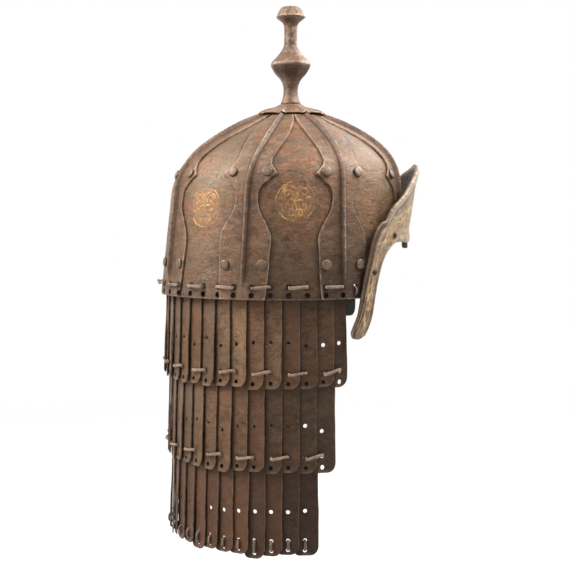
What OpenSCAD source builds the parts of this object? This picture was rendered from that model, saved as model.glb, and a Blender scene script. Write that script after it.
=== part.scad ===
// Multi-plate iron helmet: an eight-ridged bowl, a baluster finial, a standing
// brow plate and a neck guard of three hanging rows of laced lamellae.
// Millimetres. +X is the wearer's front, +Y the wearer's left and +Z is up.
// The origin is the centre of the bowl's rim, at the height of its lower edge.

/* [Bowl] */
// Outside radius of the inner plates at the rim
rim_r = 111.6; // [110.5:0.1:113]
// Height at which the bowl's outline would close over its axis
crown_h = 178.6; // [176:0.2:182]
// Height where the wall starts to turn in
shoulder_h = 79; // [76:1:82]
// Loss of wall radius for each millimetre of height
wall_taper = 0.078; // [0.065:0.001:0.085]
// Power of the height in the shoulder curve
shoulder_power = 3.48; // [3.3:0.02:3.6]
// Power of the whole shoulder curve
crown_power = 1.78; // [1.7:0.01:1.85]
// Forward offset of the line where all plate joints would meet
joint_axis_x = 2.5; // [1.5:0.1:3.5]
// Forward offset of the crown, which gives the full front shoulder
crown_x = 8.2; // [7:0.1:10]
// Height at which the crown starts to move forward
crown_lean_from = 85; // [82:1:90]
// Height at which the crown has moved all the way forward
crown_lean_to = 148; // [142:1:154]
// How far the joints turn towards the sides of the crown, in degrees
crown_turn = 4; // [0:0.5:5]
// Height at which that turn starts
turn_from = 105; // [100:1:110]
// Height at which that turn is complete
turn_to = 150; // [145:1:155]
// Number of inner plates, and of ridged plates
plate_count = 8; // [8]
// Flat facets across each inner plate
facets = 8; // [8]
// Rows of facets that would take the curve to its top
crown_rows = 16; // [14:1:18]

/* [Plates] */
// Thickness of an inner plate
inner_t = 1.3; // [1:0.1:1.5]
// Thickness of a ridged plate
ridged_t = 1.5; // [1.2:0.1:1.8]
// Clearance between the layers of plate
layer_gap = 0.12; // [0.08:0.01:0.2]
// Angle left open on each side of a joint between inner plates
joint_gap_deg = 0.12; // [0.08:0.01:0.3]
// How far below the crown's height the ridged plates end, under the apex plate
ridged_top_drop = 16.2; // [15.8:0.1:16.6]
// Half width of a ridged plate at its top end
top_half_w = 8.5; // [7:0.5:9]
// Half width of a ridged plate where its upper part is widest
upper_half_w = 16.8; // [15:0.2:18]
// Half width of a ridged plate just above its cusps
neck_half_w = 15.2; // [14.6:0.1:16]
// Half width of a ridged plate at the cusps
cusp_half_w = 23.6; // [22.6:0.2:24.6]
// Height of the cusps
cusp_z = 105; // [104:0.5:107]
// Half width of a ridged plate at the waist of its scallops
waist_half_w = 9.6; // [8.6:0.2:10.6]
// Height of the waist of the scallops
waist_z = 84; // [81:1:86]
// Half width of a ridged plate below the scallops
foot_half_w = 22.4; // [21.4:0.2:23.4]
// Half width of a ridged plate at the rim
rim_half_w = 19.4; // [18.6:0.2:20.2]
// Height of the keel above its plate
keel_h = 4; // [3:0.1:4.4]
// Half width of the keel at its foot
keel_half_w = 2.8; // [2.2:0.1:3]
// Height of the keel's lower end, just above the lacing holes
keel_foot_z = 14; // [13.2:0.2:18]
// How far below its plate's top the keel ends, beside the apex plate
keel_top_drop = 3.6; // [3.4:0.1:4.6]
// Height of the lower end of the two front keels
front_keel_z = 60; // [58:1:64]

/* [Rivets] */
// Radius of a rivet shank
shank_r = 2; // [1.6:0.1:2.4]
// Clearance of a shank in its hole
rivet_fit = 0.06; // [0.03:0.01:0.1]
// Radius of a rivet head
head_r = 5; // [4.4:0.1:5.4]
// Height of a rivet head
head_h = 2.2; // [1.6:0.1:2.4]
// Radius of the peened end inside the bowl
peen_r = 3.2; // [2.8:0.1:3.6]
// Height of the peened end
peen_h = 1; // [0.6:0.1:1.2]
// Space under a peened end at its middle, because the plate curves away
peen_gap = 0.6; // [0.4:0.05:0.7]
// Angle of a rivet from its keel
rivet_deg = 8.44; // [8.2:0.02:8.7]
// Height of the upper rivets
upper_rivet_z = 106.5; // [105.5:0.5:108]
// Height of the lower rivets
lower_rivet_z = 29; // [28:1:34]
// Height of the lower rivets of the two front ridged plates
front_rivet_z = 62; // [61:0.5:64]
// Angle of those rivets from their keel
front_rivet_deg = 5.8; // [5.4:0.1:6.2]

/* [Face opening] */
// Height of the opening above the rim at the front
opening_h = 51; // [50:0.5:52]
// Half width of the opening at the rim
opening_half_w = 90; // [89:0.5:91]

/* [Apex plate and finial] */
// Radius of the apex plate's edge
apex_r = 30.5; // [29:0.1:31]
// Thickness of the apex plate
apex_t = 1.3; // [1:0.1:1.5]
// Radius of the flat top that the finial stands on
apex_flat_r = 10.5; // [10:0.1:11.5]
// Radius of the finial's tang
tang_r = 4; // [3.5:0.1:4.5]
// Clearance of the tang in its holes
tang_fit = 0.05; // [0.03:0.01:0.1]
// Height of the finial above its seat
finial_h = 89.2; // [85:0.2:95]
// Radius of the finial's large knob
knob_r = 18.5; // [16:0.5:20]
// Radius of the finial's top disc
disc_r = 13.8; // [12:0.2:15]
// Radius of the finial's stem
stem_r = 6; // [5.5:0.1:7]
// Radius of the finial's foot
foot_r = 9.3; // [9:0.1:10]
// Radius of the plume socket in the finial's top
socket_r = 2.5; // [2:0.1:3]
// Depth of the plume socket
socket_depth = 40; // [30:1:50]
// Outer radius of the washer inside the crown
washer_r = 24; // [22:0.5:26]
// Thickness of the washer
washer_t = 1.6; // [1.2:0.1:2]

/* [Brow plate] */
// Space between the rim and the brow plate, which rests by the front keels
brow_gap = 1.7; // [1.4:0.1:2.2]
// Height at which the brow plate starts to lean forward
brow_lean_z = 60; // [58:1:62]
// Forward lean of the brow plate for each millimetre of height
brow_lean = 0.155; // [0.14:0.005:0.18]
// Height of the brow plate's point
brow_top_z = 119; // [116:1:122]
// Height of the brow plate's lower edge over the eyes
brow_low_z = 46.5; // [46:0.5:48]
// Height of the ends of the arms
arm_end_z = -35; // [-40:1:-30]
// Thickness of the brow plate in its fields
brow_t = 1.7; // [1.5:0.1:2]
// Height of the embossed edge mouldings above the fields
brow_relief = 0.9; // [0.6:0.1:1.2]
// Half width of the small nasal point
nasal_half_w = 4; // [3:0.5:5]
// Height of the tip of the nasal point
nasal_z = 40.5; // [38:0.5:43]
// Radius of the shanks of the brow rivets
brow_shank_r = 1.5; // [1.2:0.1:1.8]
// Height of the two upper brow rivets
brow_rivet_high_z = 53.5; // [53:0.5:55]
// Height of the two lower brow rivets
brow_rivet_low_z = 22; // [21:0.5:24]

/* [Lacing holes] */
// Angle between neighbouring lacing holes and lamellae
pitch_deg = 8; // [8]
// Radius of the lacing holes
hole_r = 1.6; // [1.5:0.05:1.7]
// Height of the upper row of rim holes
rim_hole_z = 10.5; // [10:0.1:11]
// Height of the lower row of rim holes
rim_hole_low_z = 3.75; // [3.5:0.05:4.2]
// Angle of the end holes from the front
end_hole_deg = 61.5; // [61.3:0.1:62]

/* [Lamellae] */
// Length of a lamella
lam_l = 88; // [84:1:92]
// Width of a lamella
lam_w = 19; // [18.6:0.1:19.4]
// Thickness of a lamella
lam_t = 1.2; // [1:0.05:1.25]
// How far inside the rim's face the first row's upper holes lie
row_1_in = 6.4; // [6.1:0.1:6.8]
// How far each row hangs inside the row above it
row_step = 2.2; // [2:0.1:2.4]
// Turn of each lamella that lets it lie over its neighbour
lap_deg = 6.8; // [6.6:0.1:7]
// Outward flare of each row
flare_deg = 1.3; // [1:0.1:1.5]
// Extra radius of the lamella at the middle of the back
back_lift = 0.75; // [0.7:0.05:0.8]
// Distance of the upper hole from the top of a lamella
top_hole_in = 3.5; // [3.2:0.1:4]
// Distance of the lacing hole from the bottom of a lamella
lace_hole_up = 12.5; // [11.5:0.5:13.5]
// Distance of the lowest hole from the bottom of a lamella
low_hole_up = 4.2; // [3.8:0.1:4.6]
// Distance of the middle hole from the bottom of a lamella
mid_hole_up = 37; // [30:1:44]
// Radius of the front lower corner of a lamella
front_corner_r = 8; // [5:0.5:9]
// Radius of the other corners of a lamella
corner_r = 3; // [1:0.5:4]
// Width of the front lamella of the first row from its holes to its front edge
front_1_w = 6.8; // [5:0.2:9.5]
// The same for the lower rows
front_low_w = 11.6; // [9.4:0.2:11.8]
// Greatest uneven drop of a lamella
uneven = 0.5; // [0:0.1:0.6]
// Lamellae on each side of the middle of the back in the first row
row_1_side = 14; // [14]

/* [Leather] */
// Radius of a leather thong
thong_r = 0.9; // [0.7:0.05:0.95]
// Clearance between a thong and what it passes over
thong_gap = 0.2; // [0.15:0.05:0.3]
// Thickness of the end tabs
tab_t = 2; // [1.5:0.1:2.2]
// Width of the end tabs
tab_w = 13; // [11:0.5:14]
// Depth of the end tabs below the rim
tab_drop = 15; // [12:1:18]

/* [Hidden] */
$fn = 32;
iron = [0.46, 0.38, 0.32];
dark_iron = [0.38, 0.31, 0.26];
pale_iron = [0.58, 0.52, 0.44];
leather = [0.52, 0.43, 0.34];
plate_deg = 360 / plate_count;
facet_deg = plate_deg / facets;
ridged_top_z = crown_h - ridged_top_drop;
keel_top_z = ridged_top_z - keel_top_drop;
brow_r = rim_r + brow_gap;
row_1_r = rim_r - row_1_in;
inner_in = -inner_t;
ridged_in = layer_gap;
ridged_out = layer_gap + ridged_t;
apex_in = ridged_out + layer_gap;
apex_out = apex_in + apex_t;
lean_span = crown_lean_to - crown_lean_from;
row_drop = lam_l - lace_hole_up - top_hole_in;
bar_out = lam_w / 2 * sin(lap_deg) + lam_t + thong_r + thong_gap;
bar_in = lam_w / 2 * sin(lap_deg) + lam_t / 2 + thong_r + thong_gap;
rim_bar_out = ridged_out + thong_r + thong_gap + 0.4;
// Far enough out to pass through every wall
reach = 160;
through = 12;
sides = 6;

// Share of the way from 0 to 1, with soft ends
function ease(t) = let(u = min(1, max(0, t))) u * u * (3 - 2 * u);
// Radius of the bowl's base surface at height z
function base_r(z) = let(t = max(0, (z - shoulder_h) / (crown_h - shoulder_h)))
    (rim_r - wall_taper * z) * pow(1 - pow(t, shoulder_power), crown_power);
// Forward offset of the bowl's circle at height z
function ring_x(z) = z < crown_lean_from
    ? joint_axis_x * z / crown_lean_from
    : joint_axis_x + (crown_x - joint_axis_x) * ease((z - crown_lean_from) / lean_span);
// Slope angle of the outward normal above the horizontal at height z
function rise(z) = let(d = 0.5, lo = max(0, z - d))
    atan((base_r(lo) - base_r(lo + 2 * d)) / (2 * d));
// Direction at height z of the line that starts from the rim at angle a
function turned(a, z) = a + crown_turn * ease((z - turn_from) / (turn_to - turn_from)) * sin(2 * a);
// Point of the bowl on the line at angle a, at height z and layer height h
function bowl_point(a, z, h) = let(r = base_r(z) + h * cos(rise(z)), b = turned(a, z))
    [ring_x(z) + r * cos(b), r * sin(b), z + h * sin(rise(z))];
// Distance from the origin's axis to layer height h, seen along angle a at height z
function reach_at(a, z, h) = let(s = ring_x(z) - joint_axis_x, r = base_r(z) + h * cos(rise(z)))
    s * cos(a) + sqrt(r * r - pow(s * sin(a), 2));
// Height of facet row j, where row 0 is the rim and row 1 the shoulder
function row_z(j) = j == 0 ? 0 : shoulder_h + (crown_h - shoulder_h) * sin(90 * (j - 1) / crown_rows);
rows_all = [for (j = [0:crown_rows]) if (base_r(row_z(j)) > apex_r / 2) row_z(j)];

// Two triangles for the patch between points a, b, c and d
function patch(a, b, c, d) = [[a, b, c], [a, c, d]];
// All faces of a closed sheet with n points across and m points along it,
// whose outer points come first and whose inner points follow
function sheet_faces(n, m) = let(k = n * m) [
    for (j = [0:m - 2]) for (i = [0:n - 2]) let(p = j * n + i)
        for (f = patch(p, p + n, p + n + 1, p + 1)) f,
    for (j = [0:m - 2]) for (i = [0:n - 2]) let(p = k + j * n + i)
        for (f = patch(p, p + 1, p + n + 1, p + n)) f,
    for (j = [0:m - 2]) let(p = j * n)
        for (f = patch(p, p + k, p + k + n, p + n)) f,
    for (j = [0:m - 2]) let(p = j * n + n - 1)
        for (f = patch(p, p + n, p + k + n, p + k)) f,
    for (i = [0:n - 2]) for (f = patch(i, i + 1, i + 1 + k, i + k)) f,
    for (i = [0:n - 2]) let(p = k - n + i)
        for (f = patch(p, p + k, p + k + 1, p + 1)) f];

// Curved sheet between layer heights lo and hi over the angles and heights given
module bowl_sheet(angles, heights, lo, hi) {
    outer = [for (z = heights) for (a = angles) bowl_point(a, z, hi)];
    inner = [for (z = heights) for (a = angles) bowl_point(a, z, lo)];
    polyhedron(concat(outer, inner), sheet_faces(len(angles), len(heights)));
}

// Places its children on the bowl at angle a and height z, with +Z outward
module on_bowl(a, z, h) {
    translate(bowl_point(a, z, h)) rotate([0, 90 - rise(z), turned(a, z)]) children();
}

// Angle from the front of lacing station i, counted from the middle of the back,
// positive towards the wearer's right
function station(i) = 180 + pitch_deg * i;

// Radial holes through the rim at lacing station i
module rim_hole(angle) {
    for (z = [rim_hole_z, rim_hole_low_z])
        translate([0, 0, z]) rotate([0, 90, angle]) translate([0, 0, reach / 2])
            cylinder(r = hole_r, h = reach / 2);
}

// Rim holes that fall within half an angle of a plate's middle
module rim_holes(middle, half) {
    for (i = [-row_1_side:row_1_side])
        if (turn(station(i) - middle) < half) rim_hole(station(i));
    for (side = [-1, 1])
        if (turn(side * end_hole_deg - middle) < half) rim_hole(side * end_hole_deg);
}
function turn(a) = abs(((a % 360) + 540) % 360 - 180);

// The arch cut out of the bowl's front
module face_opening() {
    half = [[opening_half_w, -1], [opening_half_w - 1, 4], [opening_half_w - 4.5, 18],
        [opening_half_w - 10, 29], [opening_half_w - 21, opening_h - 11.5],
        [opening_half_w - 34, opening_h - 4], [opening_half_w - 60, opening_h - 1]];
    other = [for (i = [len(half) - 1:-1:0]) [-half[i][0], half[i][1]]];
    translate([joint_axis_x + 20, 0, 0]) rotate([90, 0, 90])
        linear_extrude(reach) polygon(concat(half, [[0, opening_h]], other));
}

// Rivet places of the ridged plate whose keel is at angle k
function front_keel(k) = turn(k) < plate_deg;
function rivet_spots(k) = [for (side = [-1, 1])
    each [[k + side * rivet_deg, upper_rivet_z],
        front_keel(k) ? [k + side * front_rivet_deg, front_rivet_z]
            : [k + side * rivet_deg, lower_rivet_z]]];
function brow_spots() = [for (side = [-1, 1])
    each [[side * 53.3, brow_rivet_low_z], [side * 38.5, brow_rivet_high_z]]];

module rivet_holes(keels) {
    for (k = keels)
        for (s = rivet_spots(k))
            on_bowl(s[0], s[1], 0)
                translate([0, 0, -through / 2]) cylinder(r = shank_r + rivet_fit, h = through);
}

module brow_holes(side) {
    for (s = brow_spots())
        if (s[0] * side > 0)
            translate([joint_axis_x, 0, s[1]]) rotate([0, 90, s[0]]) translate([0, 0, reach / 2])
                cylinder(r = brow_shank_r + rivet_fit, h = reach / 2);
}

module inner_plate(k) {
    middle = plate_deg * (k - 1);
    edge = plate_deg / 2 - joint_gap_deg;
    angles = [for (i = [0:facets]) middle - max(-edge, min(edge, facet_deg * i - plate_deg / 2))];
    color(iron)
    difference() {
        bowl_sheet([for (i = [facets:-1:0]) angles[i]], rows_all, inner_in, 0);
        rivet_holes([middle - plate_deg / 2, middle + plate_deg / 2]);
        if (turn(middle) <= 90) face_opening();
        if (turn(middle) == plate_deg) brow_holes(middle > 180 ? -1 : 1);
        rim_holes(middle, plate_deg / 2 + 1);
    }
}

// Heights at share t of the way up the foot, the scallop and the neck of a ridged plate
function foot_at(t) = waist_z * t;
function scallop_at(t) = waist_z + (cusp_z - waist_z) * t;
function neck_at(t) = cusp_z + (ridged_top_z - cusp_z) * t;
// Outline of one half of a ridged plate, from the rim to its top
function half_outline() = [
    [rim_half_w, -1], [rim_half_w + 1.4, foot_at(0.131)], [foot_half_w - 0.9, foot_at(0.31)],
    [foot_half_w - 0.1, foot_at(0.5)], [foot_half_w, foot_at(0.607)], [foot_half_w - 0.9, foot_at(0.66)],
    [foot_half_w - 3, foot_at(0.714)], [(foot_half_w + waist_half_w) / 2 + 0.6, foot_at(0.78)],
    [waist_half_w + 3.6, foot_at(0.845)], [waist_half_w + 0.9, foot_at(0.917)],
    [waist_half_w, waist_z], [waist_half_w + 0.8, scallop_at(0.31)],
    [waist_half_w + 3.8, scallop_at(0.571)], [waist_half_w + 7, scallop_at(0.695)],
    [cusp_half_w - 4.6, scallop_at(0.848)], [cusp_half_w, cusp_z], [cusp_half_w - 2.6, neck_at(0.059)],
    [neck_half_w + 1.6, neck_at(0.139)], [neck_half_w + 0.1, neck_at(0.235)],
    [neck_half_w + 0.3, neck_at(0.314)], [upper_half_w - 0.5, neck_at(0.453)],
    [upper_half_w, neck_at(0.575)], [upper_half_w - 0.6, neck_at(0.697)],
    [upper_half_w - 1.8, neck_at(0.784)], [upper_half_w - 4.4, neck_at(0.889)],
    [top_half_w + 1.2, neck_at(0.967)], [top_half_w, ridged_top_z]];

// All that lies outside a ridged plate's outline, standing in the plane across
// the keel and pushed outward
module outside_outline(k) {
    half = half_outline();
    one = [for (p = half) [aside(k, p[1]) + p[0], p[1]]];
    other = [for (i = [len(half) - 1:-1:0]) [aside(k, half[i][1]) - half[i][0], half[i][1]]];
    translate([joint_axis_x, 0, 0]) rotate([90, 0, k + 90])
        linear_extrude(reach)
            difference() {
                translate([-rim_r / 2, -through]) square([rim_r, crown_h + 2 * through]);
                polygon(concat(one, other));
            }
}
// How far the keel at angle k lies aside of its plane at height z
function aside(k, z) = let(p = bowl_point(k, max(z, 0), ridged_out))
    p[1] * cos(k) - (p[0] - joint_axis_x) * sin(k);

// Values in rising order
function sorted(v) = len(v) < 2 ? v : concat(sorted([for (x = v) if (x < v[0]) x]), [v[0]],
    sorted([for (x = v) if (x > v[0]) x]));
// Share of the keel's full height at height z, for a keel that starts at foot
function keel_share(z, foot) = lookup(z, [[foot - 1, 0], [foot, 0.15], [foot + 7, 1],
    [keel_top_z - 3, 1], [keel_top_z, 0.55], [keel_top_z + 0.6, 0]]);

// Curved sheet of a ridged plate, drawn up along its middle into a sharp, hollow-sided keel
module keeled_sheet(middle, foot) {
    heights = sorted(concat([for (z = rows_all) if (z < ridged_top_z) z],
        [foot - 1, foot, foot + 7, keel_top_z - 3, keel_top_z, keel_top_z + 0.6, ridged_top_z + 1]));
    flat_angles = [6.2, 10.4, 14.9, 21];
    section = [[-1, 0], [-0.4, 0.42], [0, 1], [0.4, 0.42], [1, 0]];
    n = len(flat_angles);
    across = concat([for (i = [n - 1:-1:0]) [-flat_angles[i], 0, 0]],
        [for (s = section) [0, s[0], s[1]]],
        [for (i = [0:n - 1]) [flat_angles[i], 0, 0]]);
    outer = [for (z = heights) for (c = across)
        let(w = c[1] * keel_half_w * (0.75 + 0.25 * base_r(z) / rim_r))
            bowl_point(middle + c[0] + w / base_r(z) * 180 / PI, z,
                ridged_out + keel_h * keel_share(z, foot) * c[2])];
    inner = [for (z = heights) for (c = across)
        let(w = c[1] * keel_half_w * (0.75 + 0.25 * base_r(z) / rim_r))
            bowl_point(middle + c[0] + w / base_r(z) * 180 / PI, z, ridged_in)];
    polyhedron(concat(outer, inner), sheet_faces(len(across), len(heights)));
}

module ridged_plate(k) {
    middle = plate_deg * (k - 0.5);
    color(iron)
    difference() {
        keeled_sheet(middle, front_keel(middle) ? front_keel_z : keel_foot_z);
        outside_outline(middle);
        rivet_holes([middle]);
        if (turn(middle) < 90) face_opening();
        rim_holes(middle, facet_deg * 3);
    }
}

// Domed head, shank and peened end, standing along +Z from the plate's face
module rivet(r, cap_r, cap_h, end_r, end_h, inside, outside) {
    steps = 6;
    dome = [for (i = [0:steps]) [cap_r * cos(90 * i / steps), outside + cap_h * (0.25 + 0.75 * sin(90 * i / steps))]];
    rotate_extrude()
        polygon(concat([[0, inside - end_h], [end_r * 0.8, inside - end_h], [end_r, inside - end_h / 2],
            [end_r, inside], [r, inside], [r, outside], [cap_r, outside]], dome));
}

module plate_rivets() {
    color(pale_iron)
    for (k = [0:plate_count - 1])
        for (s = rivet_spots(plate_deg * (k + 0.5)))
            on_bowl(s[0], s[1], 0)
                rivet(shank_r, head_r, head_h, peen_r, peen_h, inner_in - peen_gap, ridged_out + layer_gap);
}

// Height where the base surface has radius r, found by halving
function z_at(r, lo, hi, n) = n == 0 ? (lo + hi) / 2
    : let(m = (lo + hi) / 2) base_r(m) > r ? z_at(r, m, hi, n - 1) : z_at(r, lo, m, n - 1);
// Outline point of the crown at radius r and layer height h
function crown_point(r, h) = let(z = z_at(r, shoulder_h, crown_h, 24))
    [r + h * cos(rise(z)), z + h * sin(rise(z))];
seat_z = crown_point(apex_flat_r - 1, apex_out)[1];
washer_z = crown_point(apex_flat_r + 3, inner_in - 0.2)[1];

module apex_plate() {
    radii = [apex_r, 26, 21, 16, apex_flat_r];
    top = [for (r = radii) crown_point(r, apex_out)];
    low = [for (i = [len(radii) - 1:-1:0]) crown_point(radii[i], apex_in)];
    color(iron)
    translate([crown_x, 0, 0])
    rotate_extrude($fn = 64)
        polygon(concat(top, [[apex_flat_r - 1, seat_z], [tang_r + tang_fit, seat_z],
            [tang_r + tang_fit, seat_z - apex_t - 0.6], [apex_flat_r - 1, seat_z - apex_t - 0.6]], low));
}

module finial_washer() {
    radii = [washer_r, 20, apex_flat_r + 3];
    top = [for (r = radii) crown_point(r, inner_in - 0.2)];
    low = [for (i = [2:-1:0]) crown_point(radii[i], inner_in - 0.2 - washer_t)];
    color(dark_iron)
    translate([crown_x, 0, 0])
    rotate_extrude($fn = 64)
        polygon(concat(top, [[tang_r + tang_fit, washer_z], [tang_r + tang_fit, washer_z - washer_t]], low));
}

// Forged baluster with its tang and peened end in one piece
module finial() {
    h = finial_h;
    end_z = washer_z - washer_t - 0.1 - seat_z;
    side = [[foot_r, 0.1], [foot_r, 0.8], [stem_r + 1.9, 5], [stem_r + 0.6, 11], [stem_r + 0.4, 15],
        [stem_r + 0.9, 20], [stem_r + 2.4, 23.5], [knob_r - 5, 28], [knob_r - 1.3, 33], [knob_r, 36.6],
        [knob_r - 0.5, 39], [knob_r - 2.8, 42], [knob_r - 7, 46.5], [stem_r + 1.6, 51],
        [stem_r + 0.3, 54], [stem_r, 58], [stem_r, 68], [stem_r + 0.2, 72.5],
        [stem_r + 1.3, h - 14.5], [disc_r - 4, h - 12.3], [disc_r - 0.4, h - 9.7], [disc_r, h - 9],
        [disc_r - 0.6, h - 8], [disc_r - 3, h - 3.2], [disc_r - 5, h - 0.8], [disc_r - 7, h]];
    color(iron)
    translate([crown_x, 0, seat_z])
    difference() {
        rotate_extrude()
            polygon(concat([[0, end_z - 2], [tang_r + 1.6, end_z - 2], [tang_r + 2.4, end_z - 1],
                [tang_r + 2.4, end_z], [tang_r, end_z], [tang_r, 0.1]], side, [[0, h]]));
        translate([0, 0, h - socket_depth]) cylinder(r = socket_r, h = socket_depth + 1);
    }
}

// Inner radius of the brow plate at height z
function brow_in(z) = brow_r + brow_lean * max(0, z - brow_lean_z);
// Upper and lower edge of the brow plate, from the middle to the end of an arm,
// each as upper angle, upper height, lower angle and lower height
function brow_edges() = let(u = brow_low_z / 46.5) [
    [0, brow_top_z, 0, brow_low_z], [4, brow_top_z - 1.5 * u, 4, brow_low_z],
    [8, brow_top_z - 4 * u, 8, brow_low_z], [13, brow_top_z - 6.5 * u, 13, brow_low_z],
    [18, brow_top_z - 10.5 * u, 18, brow_low_z], [23, brow_top_z - 16 * u, 23, brow_low_z],
    [28, brow_top_z - 23 * u, 28, 47.2 * u], [33, brow_top_z - 31 * u, 33, 47.5 * u],
    [38, brow_top_z - 37 * u, 37, 46.8 * u], [42, brow_top_z - 41 * u, 40, 44.6 * u],
    [44.2, 71 * u, 42.4, 41.6 * u], [45.8, 66.2 * u, 44.6, 38 * u], [49, 64.2 * u, 46.3, 34.2 * u],
    [51.7, 58.9 * u, 47.8, 30 * u], [53.4, 53 * u, 48.8, 26 * u], [54.9, 46.4 * u, 49.7, 21.5 * u],
    [56.5, 35 * u, 50.6, 16 * u], [57.9, 26 * u, 51.5, 9.5 * u], [59.1, 17 * u, 52.3, 2.5 * u],
    [60.2, 7 * u, 53.2, -5.5 * u], [61.3, -4 * u, 54.1, -13 * u], [62.4, -14 * u, 55.3, -20 * u],
    [64.3, -21.5 * u, 56.8, -26 * u], [65.8, arm_end_z + 7 * u, 58.4, arm_end_z + 4 * u],
    [66.1, arm_end_z + 2 * u, 61, arm_end_z]];

module brow_plate() {
    edges = brow_edges();
    m = len(edges);
    both = concat([for (i = [m - 1:-1:1]) [-edges[i][0], edges[i][1], -edges[i][2], edges[i][3]]], edges);
    // Place across the band, and height of the face there as a share of the relief
    across = [[0, -0.6], [0.07, 1], [0.17, 0], [0.5, 0.5], [0.83, 0], [0.93, 1], [1, -0.6]];
    n = len(across);
    function at(e, v, out) = let(a = e[0] + (e[2] - e[0]) * v, z = e[1] + (e[3] - e[1]) * v,
        r = brow_in(z) + out) [joint_axis_x + r * cos(a), r * sin(a), z];
    outer = [for (e = both) for (s = across) at(e, s[0], brow_t + brow_relief * s[1])];
    inner = [for (e = both) for (s = across) at(e, s[0], 0)];
    color(pale_iron)
    difference() {
        union() {
            polyhedron(concat(outer, inner), sheet_faces(n, len(both)));
            translate([joint_axis_x + brow_r - 2.4, 0, nasal_z]) rotate([0, -3, 0])
                translate([0, -nasal_half_w, 0]) cube([brow_t + 3, 2 * nasal_half_w, brow_low_z + 3 - nasal_z]);
        }
        brow_holes(1);
        brow_holes(-1);
    }
}

module brow_rivets() {
    color(dark_iron)
    for (s = brow_spots()) {
        inside = reach_at(s[0], s[1], inner_in) - peen_gap;
        outside = brow_in(s[1]) + brow_t + brow_relief * 0.55 + (brow_shank_r + 0.9) * brow_lean;
        translate([joint_axis_x, 0, s[1]]) rotate([0, 90, s[0]])
            rivet(brow_shank_r, brow_shank_r + 0.9, 0.9, brow_shank_r + 1.4, 1, inside, outside);
    }
}

// Rows are numbered from 1. Lamellae on each side of the middle, and radius at the upper holes
function side_count(row) = row_1_side + 1 - row;
function row_r(row) = row_1_r - row_step * (row - 1);
// Height of the upper holes of a row
function hang_z(row) = rim_hole_z - row_drop * (row - 1);
// Small uneven drop of lamella i, the same for each build
function drop(row, i) = uneven * sin(137 * i + 71 * row + 40 * i * i);
// Radius and height of a hole of lamella i, up from its bottom
function hole_radius(row, up) = row_r(row) + (lam_l - top_hole_in - up) * sin(flare_deg);
function hole_height(row, i, up) = hang_z(row) + drop(row, i) - (lam_l - top_hole_in - up) * cos(flare_deg);

// Arc of points round c from angle a to b
function arc(c, r, a, b) = [for (k = [0:5]) c + r * [cos(a + (b - a) * k / 5), sin(a + (b - a) * k / 5)]];

// One lamella, hanging from its upper hole, with its front edge at g towards +Y
module lamella_blank(g) {
    h = lam_w / 2;
    top = top_hole_in;
    low = top_hole_in - lam_l;
    f = front_corner_r;
    c = corner_r;
    difference() {
        rotate([90, 0, 90]) translate([0, 0, -lam_t / 2]) linear_extrude(lam_t)
            polygon(concat(arc([g - f, low + f], f, -90, 0), arc([g - c, top - c], c, 0, 90),
                arc([c - h, top - c], c, 90, 180), arc([c * 1.6 - h, low + c * 1.6], c * 1.6, 180, 270)));
        for (z = [0, low + lace_hole_up, low + low_hole_up, low + mid_hole_up])
            translate([-lam_t, 0, z]) rotate([0, 90, 0]) cylinder(r = hole_r, h = 2 * lam_t);
    }
}

module lamella(row, i) {
    side = i < 0 ? -1 : 1;
    r = row_r(row) + (i == 0 ? back_lift : 0);
    rotate([0, 0, station(i)])
        translate([r, 0, hang_z(row) + drop(row, i)])
        rotate([0, -flare_deg, i == 0 ? 0 : -side * lap_deg])
        mirror([0, i < 0 ? 1 : 0, 0])
            lamella_blank(abs(i) < side_count(row) ? lam_w / 2 : row == 1 ? front_1_w : front_low_w);
}

module lamellae(row, list) {
    color(row == 2 ? iron : dark_iron)
    for (i = list) lamella(row, i);
}

function unit(v) = v / norm(v);
// Closed loop of thong through the points given, round corners cut, lying about the plane across n
module loop(points, n) {
    m = len(points);
    soft = [for (i = [0:m - 1]) let(p = points[i], a = points[(i + m - 1) % m], b = points[(i + 1) % m])
        each [p + unit(a - p) * thong_r, p + unit(b - p) * thong_r]];
    k = len(soft);
    rings = [for (i = [0:k - 1])
        let(p = soft[i], u = unit(p - soft[(i + k - 1) % k]), w = unit(soft[(i + 1) % k] - p),
            t = unit(u + w), b = unit(cross(t, n)), c = cross(b, t), s = 1 / max(0.6, t * u))
            for (q = [0:sides - 1]) p + thong_r * (cos(60 * q) * c + sin(60 * q) * s * b)];
    faces = [for (i = [0:k - 1]) for (q = [0:sides - 1])
        let(a = i * sides + q, b = i * sides + (q + 1) % sides,
            c = ((i + 1) % k) * sides + (q + 1) % sides, d = ((i + 1) % k) * sides + q)
            for (f = patch(a, d, c, b)) f];
    polyhedron(rings, faces);
}

// Point at angle a, radius r and height z
function polar(a, r, z) = [r * cos(a), r * sin(a), z];

// Stitch that joins lamellae i and i - 1 of a row and carries the two that hang behind them
module stitch(row, i) {
    j = i - 1;
    out = hole_radius(row, lace_hole_up) + bar_out;
    back = row_r(row + 1) - bar_in;
    last = side_count(row + 1);
    zi = hole_height(row, i, lace_hole_up);
    zj = hole_height(row, j, lace_hole_up);
    bi = hang_z(row + 1) + drop(row + 1, i);
    bj = hang_z(row + 1) + drop(row + 1, j);
    free = hole_radius(row, lace_hole_up) - lam_t / 2 - thong_r - thong_gap;
    inner = i > last
        ? [polar(station(j), back, bj), polar(station(i) - 1.6, back, bj), polar(station(i), free, zi)]
        : [polar(station(j), back, bj), polar(station(i), back, bi)];
    loop(concat([polar(station(i), out, zi), polar(station(j), out, zj)], inner), [0, 0, 1]);
}

module row_lacing(row) {
    n = side_count(row);
    color(leather)
    for (i = [n:-2:2 - n]) stitch(row, i);
}

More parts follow.
